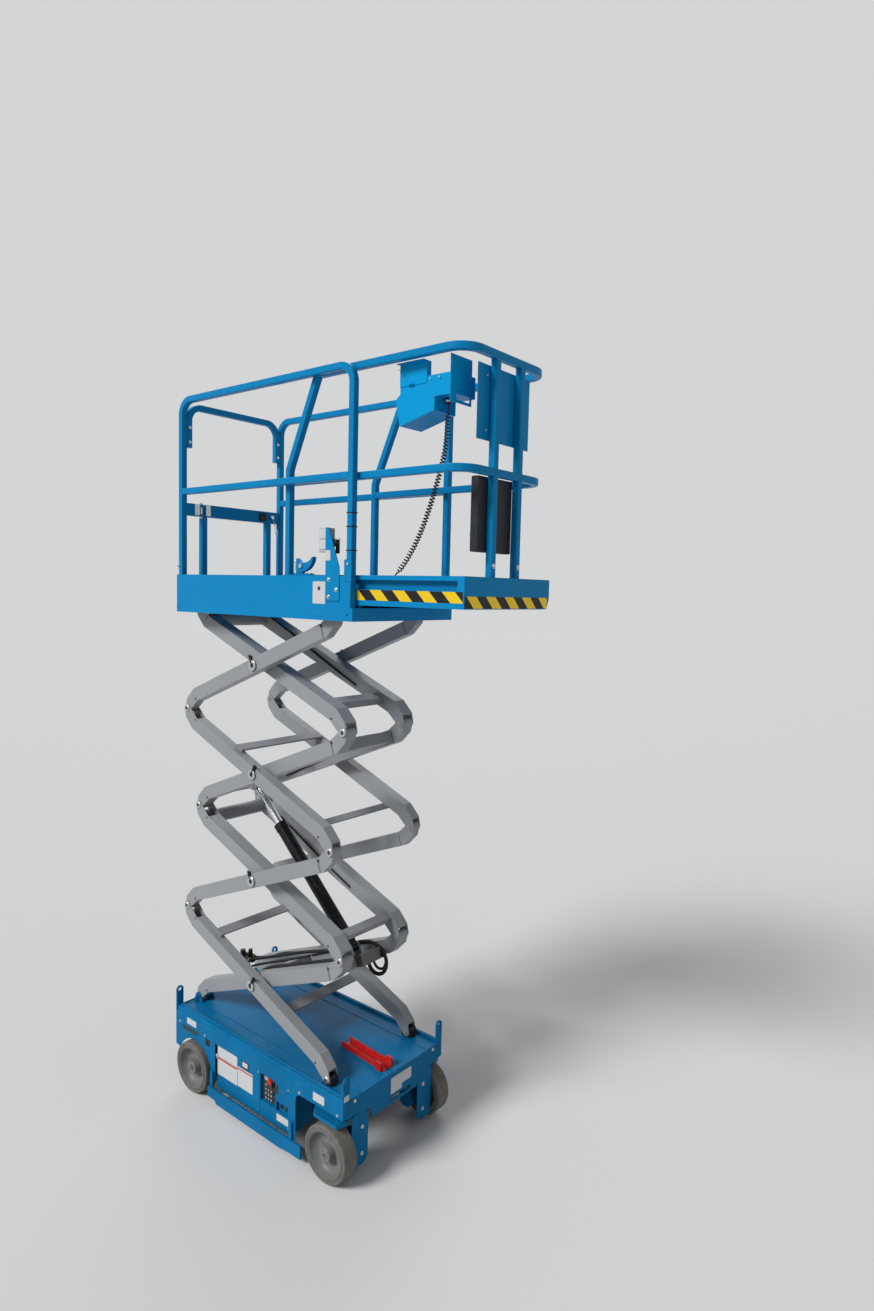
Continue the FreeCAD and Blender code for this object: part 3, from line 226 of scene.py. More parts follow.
tapes = {"hazardNear": dict(bars=sideBars), "hazardFar": dict(bars=sideBars), "hazardFrontPaintedLight": dict(bars=frontBarsPaintedLight)}
tapeBlack = (0.010, 0.010, 0.011, 1)
materials = {}


def shaderMaterial(name):
    material = bpy.data.materials.new(name)
    material.use_nodes = True
    return material, material.node_tree, material.node_tree.nodes["Principled BSDF"]


def makeMaterial(name, look):
    material, tree, shader = shaderMaterial(name)
    if "bars" in look:
        bars = addNode(tree, "ShaderNodeGroup", {"Second": tapeBlack, **look["bars"]}, node_tree=slantedBars)
        colour = bars.outputs["Colour"]
    else:
        colour = (*look["colour"], 1)
    wear = addNode(tree, "ShaderNodeGroup",
                   {"Colour": colour, "Drift": look["drift"], "Dust": look["dust"],
                    "Scratches": look["scratches"], "Roughness": look["rough"]}, node_tree=paintWear).outputs
    feed(tree, shader, {"Base Color": wear["Colour"], "Roughness": wear["Roughness"],
                        "Metallic": look["metallic"], "Specular IOR Level": look["shine"]})
    if look["grain"]:
        bump = addNode(tree, "ShaderNodeBump",
                       {"Strength": look["grain"], "Distance": grainDepth, "Height": wear["Height"]})
        feed(tree, shader, {"Normal": bump.outputs["Normal"]})
    materials[name] = material


for usual, finishes in ((usualPaint, paints), (usualMetal, metals), (usualTape, tapes)):
    for finishName, finishLook in finishes.items():
        makeMaterial(finishName, {**usual, **finishLook})
print("materials made:", len(materials))


def pickOnly(*objects):
    bpy.ops.object.select_all(action="DESELECT")
    for item in objects:
        item.select_set(True)
    bpy.context.view_layer.objects.active = objects[-1]


def settle(item):
    pickOnly(item)
    bpy.ops.object.transform_apply(location=True, rotation=True, scale=True)
    return item


def newObject(name, data):
    item = bpy.data.objects.new(name, data)
    bpy.context.collection.objects.link(item)
    return item


def openMesh():
    bpy.ops.object.mode_set(mode="EDIT")
    bpy.ops.mesh.select_all(action="SELECT")


def closeMesh():
    bpy.ops.mesh.select_all(action="SELECT")
    bpy.ops.mesh.normals_make_consistent(inside=False)
    bpy.ops.object.mode_set(mode="OBJECT")


def extrude(offset):
    bpy.ops.mesh.extrude_region_move(TRANSFORM_OT_translate={"value": offset})


def bevelEdges(item, width, segments=2, angle=35):
    pickOnly(item)
    edge = item.modifiers.new("edge", "BEVEL")
    edge.width = width
    edge.segments = segments
    edge.limit_method = "ANGLE"
    edge.angle_limit = math.radians(angle)
    edge.use_clamp_overlap = False
    bpy.ops.object.modifier_apply(modifier=edge.name)
    return item


def finish(item, name, body, material, smooth=32):
    item.name = name
    item.data.name = name
    item.data.materials.clear()
    item.data.materials.append(materials[material])
    settle(item)
    bpy.ops.object.shade_smooth_by_angle(angle=math.radians(smooth))
    even = item.modifiers.new("even", "WEIGHTED_NORMAL")
    even.keep_sharp = True
    bpy.ops.object.modifier_apply(modifier=even.name)
    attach(item, body)
    return item


def block(low, high, edge=0.0015):
    bpy.ops.mesh.primitive_cube_add(size=1, location=(Vector(low) + Vector(high)) / 2)
    item = bpy.context.object
    item.scale = [abs(b - a) for a, b in zip(low, high)]
    settle(item)
    return bevelEdges(item, edge) if edge else item


def rod(start, end, radius, sides=32, edge=0.001):
    start, end = Vector(start), Vector(end)
    bpy.ops.mesh.primitive_cylinder_add(vertices=sides, radius=radius, depth=(end - start).length,
                                        location=(start + end) / 2)
    item = bpy.context.object
    item.rotation_euler = (end - start).to_track_quat("Z", "Y").to_euler()
    settle(item)
    return bevelEdges(item, edge, 2, 50) if edge else item


def joined(items):
    if len(items) > 1:
        pickOnly(*items)
        bpy.ops.object.join()
    return items[-1]


def spun(profile, start, axis, steps=64):
    # a closed profile of (distance along, radius) pairs turned round an axis from a point
    bpy.ops.mesh.primitive_circle_add(vertices=len(profile), radius=1, fill_type="NOTHING")
    item = bpy.context.object
    for vertex, (along, radius) in zip(item.data.vertices, profile):
        vertex.co = (radius, 0, along)
    openMesh()
    bpy.ops.mesh.spin(steps=steps, angle=2 * math.pi, center=(0, 0, 0), axis=(0, 0, 1))
    bpy.ops.mesh.select_all(action="SELECT")
    bpy.ops.mesh.remove_doubles(threshold=0.00002)
    closeMesh()
    item.location = start
    item.rotation_euler = Vector(axis).to_track_quat("Z", "Y").to_euler()
    return settle(item)


def label(name, body, place, normal, width, height, material="labelWhite", thick=0.0008, corner=0.004):
    # a thin plate with rounded corners, its back on the point given, facing along normal
    bpy.ops.mesh.primitive_plane_add(size=1)
    item = bpy.context.object
    item.scale = (width, height, 1)
    settle(item)
    openMesh()
    bpy.ops.mesh.bevel(offset=corner, segments=3, affect="VERTICES")
    extrude((0, 0, thick))
    closeMesh()
    normal = Vector(normal)
    across = Vector((0, 0, 1)).cross(normal).normalized()
    item.rotation_euler = Matrix((across, normal.cross(across), normal)).transposed().to_euler()
    item.location = place
    return finish(item, name, body, material)


def bevelledTube(corners, bend, size, corner, side):
    # a tube of rounded square section that follows straight runs and turns of one radius
    direction = (corners[1] - corners[0]).normalized()
    bpy.ops.mesh.primitive_plane_add(size=size)
    item = bpy.context.object
    openMesh()
    bpy.ops.mesh.bevel(offset=corner, segments=3, affect="VERTICES")
    bpy.ops.object.mode_set(mode="OBJECT")
    side = Vector(side)
    item.rotation_euler = Matrix((side, direction.cross(side), direction)).transposed().to_euler()
    item.location = corners[0]
    settle(item)
    openMesh()
    here = corners[0]
    for before, turning, beyond in zip(corners, corners[1:], [*corners[2:], None]):
        ahead = (turning - before).normalized()
        if beyond is None:
            extrude(turning - here)
            break
        after = (beyond - turning).normalized()
        angle = ahead.angle(after)
        reach = bend * math.tan(angle / 2)
        stop = turning - ahead * reach
        extrude(stop - here)
        turnAxis = ahead.cross(after).normalized()
        bpy.ops.mesh.spin(steps=max(3, round(math.degrees(angle) / 9)), angle=angle,
                          center=stop + turnAxis.cross(ahead) * bend, axis=-turnAxis)
        here = turning + after * reach
    closeMesh()
    return item


def assembled(name, body, material, shapes):
    # Blocks by two corners and rods by two ends and a radius, made one piece.
    # A block's third value is how far its edges are rounded, written below zero.
    made = []
    for low, high, *size in shapes:
        if size and size[0] > 0:
            made.append(rod(at(*low), at(*high), size[0], 24, min(0.001, 0.2 * size[0])))
        else:
            made.append(block(at(*low), at(*high), -size[0] if size else 0.0008))
    return finish(joined(made), name, body, material)


def boltHead(place, axis, radius):
    # washer and six-sided head, its seat on the point given
    axis, place = Vector(axis), Vector(place)
    washer = rod(place, place + axis * 0.22 * radius, 1.45 * radius, 20, 0.08 * radius)
    head = rod(place + axis * 0.2 * radius, place + axis * 0.95 * radius, radius, 6, 0.12 * radius)
    return joined([washer, head])


def boltSet(name, body, places, axis, radius, material="boltZinc"):
    # one bolt modelled at the origin, then a copy with its own mesh at each place
    first = boltHead((0, 0, 0), axis, radius)
    copies = []
    for place in places:
        twin = first.copy()
        twin.data = first.data.copy()
        bpy.context.collection.objects.link(twin)
        twin.location = place
        copies.append(settle(twin))
    bpy.data.objects.remove(first)
    return finish(joined(copies), name, body, material)


def newCurve(name, places, kind, smooth=12, radius=0.0, roundness=0):
    curve = bpy.data.curves.new(name, "CURVE")
    curve.dimensions = "3D"
    line = curve.splines.new(kind)
    line.points.add(len(places) - 1)
    for point, place in zip(line.points, places):
        point.co = (*place, 1)
    if kind == "NURBS":
        line.order_u = 3
        line.use_endpoint_u = True
    curve.resolution_u = smooth
    if radius:
        curve.bevel_depth = radius
        curve.bevel_resolution = roundness
        curve.use_fill_caps = True
    return newObject(name, curve)


def hose(name, body, places, radius, material="hoseBlack"):
    # a round hose on a smooth curve through nearby points, made a mesh
    pickOnly(newCurve(name, places, "NURBS", 6, radius, 3))
    bpy.ops.object.convert(target="MESH")
    return finish(bpy.context.object, name, body, material)


# The outer top edge of each side rail falls away in a broad slope.
slope = dict(outer=0.379, edge=0.443, edgeTo=0.416, inner=0.369, top=0.453, innerTo=0.351, near=0.0006)
axleSteel = dict(beyond=0.33, radius=0.02)  # how far out and how wide each front wheel's bare axle is
tapeRoom = 0.0009  # the slide-out deck's front face stands back this far, for the tape on it


def slopeRails(vertices):
    for vertex in vertices:
        side = math.copysign(1, vertex.co.y)
        y, z = side * vertex.co.y, vertex.co.z
        if abs(y - slope["outer"]) < slope["near"] and abs(z - slope["edge"]) < slope["near"]:
            vertex.co.z = slope["edgeTo"]
        elif abs(y - slope["inner"]) < slope["near"] and abs(z - slope["top"]) < slope["near"]:
            vertex.co.y = side * slope["innerTo"]


def dressed(node, material, width, smooth):
    # the piece's own form with its sharp edges rounded
    source = frame["nodes"][node]
    item = source.copy()
    item.data = source.data.copy()
    item.parent = None
    for key in list(item.keys()):
        del item[key]
    bpy.context.collection.objects.link(item)
    item.matrix_world = Matrix.Identity(4)
    pickOnly(item)
    if item.data.has_custom_normals:
        bpy.ops.mesh.customdata_custom_splitnormals_clear()
    openMesh()
    bpy.ops.mesh.remove_doubles(threshold=0.00002)
    bpy.ops.mesh.dissolve_limited(angle_limit=math.radians(0.6))
    bpy.ops.object.mode_set(mode="OBJECT")
    if node == "side_rails":
        slopeRails(item.data.vertices)
    if node == "extension_deck":
        for vertex in item.data.vertices:
            if vertex.co.x > extHigh.x - 0.0002:
                vertex.co.x = extHigh.x - tapeRoom
    if width:
        bevelEdges(item, width, 2, 38)
    finish(item, node + "_dressed", source["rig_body"], material, smooth)
    if node.startswith("yoke_"):
        item.data.materials.append(materials["plateSteel"])
        for face in item.data.polygons:
            reach = math.hypot(face.center.x - wheelX[1], face.center.z - wheelZ)
            if abs(face.center.y) > axleSteel["beyond"] and reach < axleSteel["radius"]:
                face.material_index = 1
    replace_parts(item, node)


view = dict(place=(3.3273, -3.033, 2.9214), heading=129.0427, tilt=-4.5422, roll=1.3883, lens=22.346,
            frame=36.0, far=60.0)
cameraData = bpy.data.cameras.new("viewCamera")
cameraData.sensor_fit = "VERTICAL"
cameraData.sensor_height = view["frame"]
cameraData.lens = view["lens"]
cameraData.clip_end = view["far"]
camera = newObject("viewCamera", cameraData)
turns = ((view["heading"] - 90, "Z"), (90 + view["tilt"], "X"), (view["roll"], "Z"))
spin, tip, lean = (Matrix.Rotation(math.radians(angle), 4, axis) for angle, axis in turns)
camera.matrix_world = Matrix.Translation(at(*view["place"])) @ spin @ tip @ lean
bpy.context.scene.camera = camera

# The pale backdrop is what camera, glossy and glass rays meet. skyLight is what lights the object.
stage = dict(floorSize=160.0, floorZ=-0.0005, floorColour=(0.66, 0.66, 0.655, 1), floorRough=0.9,
             skyShown=(0.66, 0.665, 0.67, 1), skyLight=(0.25, 0.255, 0.265, 1))
world = bpy.data.worlds.new("studio")
bpy.context.scene.world = world
world.use_nodes = True
worldTree = world.node_tree
rays = addNode(worldTree, "ShaderNodeLightPath").outputs
seen = addMath(worldTree, "MAXIMUM", rays["Is Camera Ray"], rays["Is Glossy Ray"])
seen = addMath(worldTree, "MAXIMUM", seen, rays["Is Transmission Ray"])
sky = addMix(worldTree, seen, stage["skyLight"], stage["skyShown"])
feed(worldTree, worldTree.nodes["Background"], {"Color": sky})
bpy.ops.object.select_all(action="DESELECT")
bpy.ops.mesh.primitive_plane_add(size=stage["floorSize"], location=(0, 0, stage["floorZ"]))
floor = bpy.context.object
floor.name = "floor"
floorMaterial, floorTree, floorShader = shaderMaterial("floorPale")
feed(floorTree, floorShader, {"Base Color": stage["floorColour"], "Roughness": stage["floorRough"]})
floor.data.materials.append(floorMaterial)

lamps = [
    dict(name="keyLamp", place=(-1.2, -4.0, 3.3), angle=20, power=3.0),
    dict(name="frontLamp", place=(4.0, 0.6, 2.0), angle=50, power=0.12),
    dict(name="backLamp", place=(-3.0, 3.5, 2.5), angle=40, power=0.55),
]
for lamp in lamps:
    data = bpy.data.lights.new(lamp["name"], "SUN")
    data.angle = math.radians(lamp["angle"])
    data.energy = lamp["power"]
    item = newObject(lamp["name"], data)
    item.location = lamp["place"]
    item.rotation_euler = (-Vector(lamp["place"])).to_track_quat("-Z", "Y").to_euler()
bpy.context.scene.view_settings.view_transform = "Standard"
print("camera and light set")


# The tail is the straight wire at each end of the coil.
cordSizes = dict(wire=0.0062, outer=0.026, pitch=0.0148, perTurn=14, tail=0.03, easeTurns=2.0)
cordRoute = [(1.060, -0.200, 3.739), (1.060, -0.200, 3.640), (1.057, -0.209, 3.535), (1.034, -0.222, 3.420),
             (1.000, -0.233, 3.300), (0.957, -0.244, 3.180), (0.908, -0.256, 3.085), (0.858, -0.266, 3.015),
             (0.814, -0.270, 2.972)]


def coiledCord():
    guide = newCurve("cordRoute", [at(*place) for place in cordRoute], "NURBS", 24)
    points = [v.co.copy() for v in bpy.data.meshes.new_from_object(guide).vertices]
    bpy.data.objects.remove(guide)
    marks = [0.0]
    for a, b in zip(points, points[1:]):
        marks.append(marks[-1] + (b - a).length)
    total, tail, perTurn = marks[-1], cordSizes["tail"], cordSizes["perTurn"]
    turnCount = round((total - 2 * tail) / cordSizes["pitch"])
    reach = 0.5 * (cordSizes["outer"] - cordSizes["wire"])
    count = turnCount * perTurn
    easing = cordSizes["easeTurns"] * perTurn
    side = Vector((0, 1, 0))
    helix = [points[0]]
    segment = 0
    for i in range(count + 1):
        mark = tail + (total - 2 * tail) * i / count
        while marks[segment + 1] < mark and segment < len(points) - 2:
            segment += 1
        a, b = points[segment], points[segment + 1]
        centre = a.lerp(b, (mark - marks[segment]) / (marks[segment + 1] - marks[segment]))
        direction = (b - a).normalized()
        side = (side - direction * side.dot(direction)).normalized()
        angle = 2 * math.pi * turnCount * i / count
        ease = min(1.0, i / easing, (count - i) / easing)
        out = side * math.cos(angle) + direction.cross(side) * math.sin(angle)
        helix.append(centre + out * reach * ease)
    helix.append(points[-1])
    item = newCurve("curlyCord", helix, "POLY", radius=0.5 * cordSizes["wire"], roundness=2)
    item.data.materials.append(materials["hoseBlack"])
    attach(item, "extension")
    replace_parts(item, "coil_cord")


coiledCord()

dressGroups = [
    # material, slot, and how far the edges of each node are rounded
    ("chassisBlue", "blue_paint", dict(
        chassis_frame=0.0016, side_rails=0.0022, frame_beams=0.0015, pivot_brackets=0.0012, guard_near=0.0015,
        guard_far=0.0015, side_module_near=0.003, side_module_far=0.003, kingpin_housings=0.0015,
        yoke_near=0.002, yoke_far=0.002)),
    ("labelDark", "box_paint", dict(ground_panel=0.0015)),
    ("hoseBlack", "hose_rubber", dict(hose_bundle=0)),
    ("gearBlack", "black_paint", dict(power_block=0.004, rear_axle=0.002, tie_rod=0.0015)),
    ("safetyRed", "red_paint", dict(safety_arm=0.0012)),
    ("plasticBlack", "pad_plastic", dict(lower_pads=0.0015, upper_pads=0.0015)),
    ("platformBlue", "blue_paint", dict(platform_deck=0.0008, outlet_bracket=0.0012, extension_deck=0.001,
                                        front_sheet=0.001)),
    ("railBlue", "rail_paint", dict(swing_gate=0.0012)),
    ("outletGrey", "outlet_grey", dict(outlet_box=0.003)),
    ("boxBlue", "rail_paint", dict(control_box=0)),
    ("caseBlack", "case_plastic", dict(manual_box=0.003)),
    ("plasticBlack", "case_plastic", dict(cord_gland=0.0015, cord_socket=0.002)),
    ("barrelBlack", "cylinder_black", dict(lift_barrel=0.0015)),
    ("rodChrome", "rod_chrome", dict(lift_rod=0.0015)),
    ("blockDark", "valve_metal", dict(valve_block=0.002)),
    ("armGrey", "arm_paint", {"%s_arms_%d" % (kind, level): 0.0022 for level in range(1, 5)
                              for kind in ("inner", "outer")}),
    ("tieGrey", "arm_paint", dict.fromkeys((
        "inner_ties_1", "inner_ties_2", "inner_ties_3", "inner_ties_4", "outer_ties_1", "outer_ties_3"), 0.0015)),
]
for dressMaterial, dressSlot, widths in dressGroups:
    for dressNode, dressWidth in widths.items():
        dressed(dressNode, dressMaterial, dressWidth, 14 if "_arms_" in dressNode else 30)
print("frame pieces dressed:", sum(len(widths) for _, _, widths in dressGroups))


wheel = dict(face=0.405, steps=72, boltReach=0.060, boltDepth=0.0452, boltCount=5, boltRadius=0.0055,
             nutSeat=0.0036, washerRadius=0.026, nutRadius=0.0165, nutOut=0.0028, endRadius=0.0085, endOut=0.0034)
# Both profiles run from the outer face inwards.
tyreProfile = [(0.0, 0.1170), (0.0, 0.1205), (0.0024, 0.1215), (0.0028, 0.1250), (0.0006, 0.1262),
               (0.0006, 0.1290), (0.0026, 0.1302), (0.0026, 0.1340), (0.0008, 0.1355), (0.0012, 0.1388),
               (0.0040, 0.1425), (0.0085, 0.1447), (0.016, 0.145), (0.076, 0.145), (0.0835, 0.1447),
               (0.088, 0.1425), (0.0908, 0.1385), (0.092, 0.1345), (0.092, 0.1170)]
rimProfile = [(0.0030, 0.1167), (0.0016, 0.1150), (0.0022, 0.1115), (0.0060, 0.1095), (0.0090, 0.1085),
              (0.0150, 0.1070), (0.0300, 0.0985), (0.0400, 0.0880), (0.0440, 0.0760), (0.0450, 0.0620),
              (0.0430, 0.0520), (0.0380, 0.0450), (0.0120, 0.0380), (0.0060, 0.0365), (0.0035, 0.0335),
              (0.0035, 0.0172), (0.0880, 0.0172), (0.0880, 0.0300), (0.0520, 0.0300), (0.0520, 0.0780),
              (0.0470, 0.0930), (0.0360, 0.1045), (0.0300, 0.1085), (0.0890, 0.1085), (0.0890, 0.1167)]


def makeWheel(name, x, side):
    body = "wheel_" + name
    start = Vector((x, side * wheel["face"], wheelZ))
    inward = Vector((0, -side, 0))
    for kind, profile, material, slot, smooth in (("tyre_", tyreProfile, "tyreGrey", "grey_tyre", 24),
                                                  ("rim_", rimProfile, "rimGrey", "rim_paint", 28)):
        ring = spun(profile, start, inward, wheel["steps"])
        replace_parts(finish(ring, kind + name + "_dressed", body, material, smooth), kind + name)
    seat = start + inward * wheel["nutSeat"]
    washer = rod(seat, seat + inward * -0.0002, wheel["washerRadius"], 32, 0)
    nut = rod(seat + inward * 0.010, seat - inward * wheel["nutOut"], wheel["nutRadius"], 6, 0.0012)
    finish(joined([washer, nut]), "hub_nut_" + name, body, "plateSteel")
    end = rod(seat + inward * 0.008, seat - inward * wheel["endOut"], wheel["endRadius"], 24, 0.001)
    finish(end, "hub_end_" + name, body, "blockDark")
    places = []
    for i in range(wheel["boltCount"]):
        angle = 2 * math.pi * (i + 0.25) / wheel["boltCount"]
        places.append(start + inward * wheel["boltDepth"]
                      + Vector((math.cos(angle), 0, math.sin(angle))) * wheel["boltReach"])
    boltSet("rim_bolts_" + name, body, places, -inward, wheel["boltRadius"], "rimGrey")


for wheelEnd, axleX in zip(("rear", "front"), wheelX):
    for side, sideName in sides:
        makeWheel(wheelEnd + "_" + sideName, axleX, side)
print("wheels made")


rail = dict(size=0.035, corner=0.006, bend=0.080, postRear=-0.716, postFront=0.628, midDrop=0.499,
            hoopDrop=0.020, hoopLeg=0.230, extBend=0.095, extHoopBack=0.036, legX=0.146, legBend=0.05,
            legLow=0.140, kneeRise=0.062, slant=0.200, post=0.095)
# The fixed end of the gate's beam stands on the near rear post, with the knuckles the gate turns on.
hinge = dict(x=rail["postRear"], y=-0.230, beamTop=3.382, beamDepth=0.070, beamThick=0.030, root=0.020,
             knuckle=0.016, radius=0.013, webThick=0.008)
topZ = railHigh.z - 0.5 * rail["size"]
midZ = topZ - rail["midDrop"]
postY = railHigh.y - 0.5 * rail["size"]


def tube(corners, bend, side):
    return bevelledTube([at(*corner) for corner in corners], bend, rail["size"], rail["corner"], side)


def replaceRails(pieces, node, body):
    item = finish(joined(pieces), node + "_dressed", body, "railBlue", 30)
    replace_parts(item, node)


def platformRails():
    pieces = []
    rear, front = rail["postRear"], rail["postFront"]
    for side in (-1, 1):
        y = side * postY
        pieces.append(tube([(rear, y, railLow.z), (rear, y, topZ), (front, y, topZ), (front, y, railLow.z)],
                           rail["bend"], (0, 1, 0)))
        pieces.append(tube([(rear + 0.01, y, midZ), (front - 0.01, y, midZ)], rail["bend"], (0, 1, 0)))
    x, y, beamLow = hinge["x"], hinge["y"], hinge["beamTop"] - hinge["beamDepth"]
    halfBeam, halfWeb = 0.5 * hinge["beamThick"], 0.5 * hinge["webThick"]
    pieces.append(block(at(x - halfBeam, -postY, beamLow),
                        at(x + halfBeam, y - hinge["root"], hinge["beamTop"]), 0.003))
    for low in (beamLow, hinge["beamTop"] - hinge["knuckle"]):
        high = low + hinge["knuckle"]
        pieces.append(rod(at(x, y, low), at(x, y, high), hinge["radius"], 24, 0.001))
        pieces.append(block(at(x - halfWeb, y - hinge["root"] - 0.002, low), at(x + halfWeb, y - 0.008, high),
                            0.001))
    replaceRails(pieces, "main_rails", "platform")


def hoopRails():
    x, y = rail["postRear"], postY - rail["size"]
    top = topZ - rail["hoopDrop"]
    low = top - rail["hoopLeg"]
    hoop = tube([(x, -y, low), (x, -y, top), (x, y, top), (x, y, low)], rail["bend"], (1, 0, 0))
    replaceRails([hoop], "rear_hoop", "platform")


def slideOutRails():
    y = -extLow.y - 0.5 * rail["size"] - 0.0005
    hoopX = extHigh.x - midX - rail["extHoopBack"]
    legX, headX = rail["legX"], rail["legX"] + rail["slant"]
    pieces = []
    for side in (-1, 1):
        pieces.append(tube([(legX, side * y, extLow.z + rail["legLow"]), (legX, side * y, midZ + rail["kneeRise"]),
                            (headX, side * y, topZ)], rail["legBend"], (0, 1, 0)))
    for z, start in ((topZ, headX - 0.012), (midZ, legX)):
        pieces.append(tube([(start, -y, z), (hoopX, -y, z), (hoopX, y, z), (start, y, z)],
                           rail["extBend"], (0, 0, 1)))
    for side in (-1, 1):
        pieces.append(tube([(hoopX, side * rail["post"], extLow.z + 0.004),
                            (hoopX, side * rail["post"], topZ - 0.01)], rail["legBend"], (0, 1, 0)))
    replaceRails(pieces, "extension_rails", "extension")


platformRails()
hoopRails()
slideOutRails()
print("rails made")


tape = dict(start=0.645, end=0.008, low=0.025, high=0.073, inset=0.003, frontLow=0.004, frontHigh=0.055,
            thick=0.0008)
for side, sideName in sides:
    faces = sorted((-side * extLow.y, side * (tape["thick"] - extLow.y)))
    strip = block((midX + tape["start"], faces[0], extLow.z + tape["low"]),
                  (extHigh.x - tape["end"], faces[1], extLow.z + tape["high"]), 0)
    finish(strip, "hazard_tape_" + sideName, "extension", "hazard" + sideName.capitalize())
tapeX = extHigh.x - tapeRoom
strip = block((tapeX, extLow.y + tape["inset"], extLow.z + tape["frontLow"]),
              (tapeX + tape["thick"], -extLow.y, extLow.z + tape["frontHigh"]), 0)
finish(strip, "hazard_tape_front", "extension", "hazardFrontPaintedLight")


moduleY, bandY, platformY = -0.365, -0.379, -0.3705  # the near module's, the band's and the platform's faces
frontX, labelThick = 0.660, 0.0008
labels = [
    # name, body, place, normal, width, height and, where it isn't white, material
    ("module_top", "chassis", (-0.268, moduleY, 0.3145), nearward, 0.176, 0.067),
    ("module_tall", "chassis", (-0.268, moduleY, 0.2270), nearward, 0.176, 0.102),
    ("module_low", "chassis", (-0.111, moduleY, 0.236), nearward, 0.130, 0.112),
    ("module_small", "chassis", (-0.112, moduleY, 0.321), nearward, 0.062, 0.044, "labelDark"),
    ("panel_side", "chassis", (0.153, moduleY, 0.296), nearward, 0.026, 0.052, "labelDark"),
    ("socket", "chassis", (0.200, moduleY, 0.148), nearward, 0.092, 0.038),
    ("band_rear", "chassis", (-0.587, bandY, 0.395), nearward, 0.090, 0.036),
    ("band_strip", "chassis", (-0.600, bandY, 0.345), nearward, 0.150, 0.024, "labelDark"),
    ("band_front", "chassis", (0.487, bandY, 0.395), nearward, 0.081, 0.043),
    ("front_tall", "chassis", (frontX, 0.007, 0.366), forward, 0.086, 0.086),
    ("front_low", "chassis", (frontX, 0.086, 0.378), forward, 0.074, 0.060),
    ("lug", "chassis", (frontX, -0.357, 0.458), forward, 0.034, 0.030),
    ("platform_side", "platform", (0.4345, platformY, 2.900), nearward, 0.087, 0.106),
    ("bracket", "platform", (0.498, platformY - 0.005, 3.075), nearward, 0.034, 0.048),
]
for labelName, labelBody, place, *looks in labels:
    label("label_" + labelName, labelBody, at(*place), *looks)
marks = [
    # plain red and dark fields on the labels: body, place, width, height, material
    ("chassis", (-0.268, moduleY - labelThick, 0.2705), 0.170, 0.010, "labelRed"),
    ("chassis", (-0.111, moduleY - labelThick, 0.281), 0.124, 0.008, "labelRed"),
    ("chassis", (-0.112, moduleY - labelThick, 0.321), 0.044, 0.026, "labelWhite"),
    ("platform", (0.4345, platformY - labelThick, 2.920), 0.018, 0.018, "labelDark"),
]
for number, (markBody, place, width, height, markMaterial) in enumerate(marks):
    label("label_mark_%d" % number, markBody, at(*place), nearward, width, height, markMaterial, 0.0003, 0.001)
print("labels placed:", len(labels), "with", len(marks), "marks")


# The arms' faces are counted from the machine's middle plane, the profiles from those faces.
pins = dict(midFace=0.336, outerFace=0.330, innerFace=0.2522, innerClear=0.172, seat=0.0002)
midCap = [(0, 0.0201), (0, 0.0275), (0.0035, 0.0275), (0.0045, 0.0262), (0.0045, 0.0135), (0.0028, 0.0125),
          (0.0028, 0.0), (0.0025, 0.0), (0.0025, 0.0201)]
midCentre = [(0.0029, 0.0), (0.0029, 0.0120), (0.0034, 0.0120), (0.0034, 0.0)]
endWasher = [(0, 0.0122), (0, 0.0200), (0.0032, 0.0200), (0.0042, 0.0188), (0.0042, 0.0122)]
endCentre = [(0.0059, 0.0), (0.0059, 0.0085), (0.0066, 0.0078), (0.0066, 0.0)]
pinFrontX, pinRearX = jointPlace["pad_low"].x, jointPlace["lift"].x
pinHeights = [jointPlace[name].z for name in ("lift", "chain_12", "chain_23", "chain_34", "level")]
endPins = {  # each body's pins: distance along, and number of the height
    "outer_1": [(pinFrontX, 0), (pinRearX, 1)], "outer_3": [(pinFrontX, 2), (pinRearX, 3)],
    "inner_1": [(pinFrontX, 1)], "inner_2": [(pinRearX, 2)], "inner_3": [(pinFrontX, 3)],
}


def pinCaps():
    # washers with a sunk dark centre on the middle pins and on the arm ends' pins
    for level in range(1, 5):
        middle = jointPlace["cross_%d" % level]
        for side, sideName in sides:
            place, out = Vector((middle.x, side * pins["midFace"], middle.z)), (0, side, 0)
            ending = "%d_%s" % (level, sideName)
            finish(spun(midCap, place, out, 40), "mid_pin_cap_" + ending, "inner_%d" % level, "boltZinc")
            finish(spun(midCentre, place, out, 24), "mid_pin_centre_" + ending, "inner_%d" % level, "plasticBlack")
    for body, places in endPins.items():
        face = pins["outerFace"] + pins["seat"] if body.startswith("outer") else pins["innerFace"]
        for i, (x, height) in enumerate(places):
            for side, sideName in sides:
                place, out = Vector((x, side * face, pinHeights[height])), (0, side, 0)
                ending = "%s_%d_%s" % (body, i, sideName)
                finish(spun(endWasher, place, out, 32), "end_pin_washer_" + ending, body, "boltZinc")
                finish(spun(endCentre, place, out, 24), "end_pin_centre_" + ending, body, "plasticBlack")


def armSpot(kind, level, share, above, y):
    # a point along an arm, a share of the way between its end pins and a distance above their line
    rising = (level % 2 == 1) == (kind == "inner")
    ends = (pinRearX, pinFrontX) if rising else (pinFrontX, pinRearX)
    start = Vector((ends[0], y, pinHeights[level - 1]))
    end = Vector((ends[1], y, pinHeights[level]))
    up = Vector((0, 1, 0)).cross(end - start).normalized()
    up = -up if up.z < 0 else up
    return start.lerp(end, share) + up * above


pinTab = dict(face=0.3304, lift=0.0014, low=0.014, high=0.052, radius=0.0105, seat=0.004, bolt=0.0065)
# painted shade: the arms' small holes are black discs laid on their faces
shadeDisc = dict(radius=0.006, depth=0.0004, spots=((0.075, 0.018), (0.925, -0.018)))


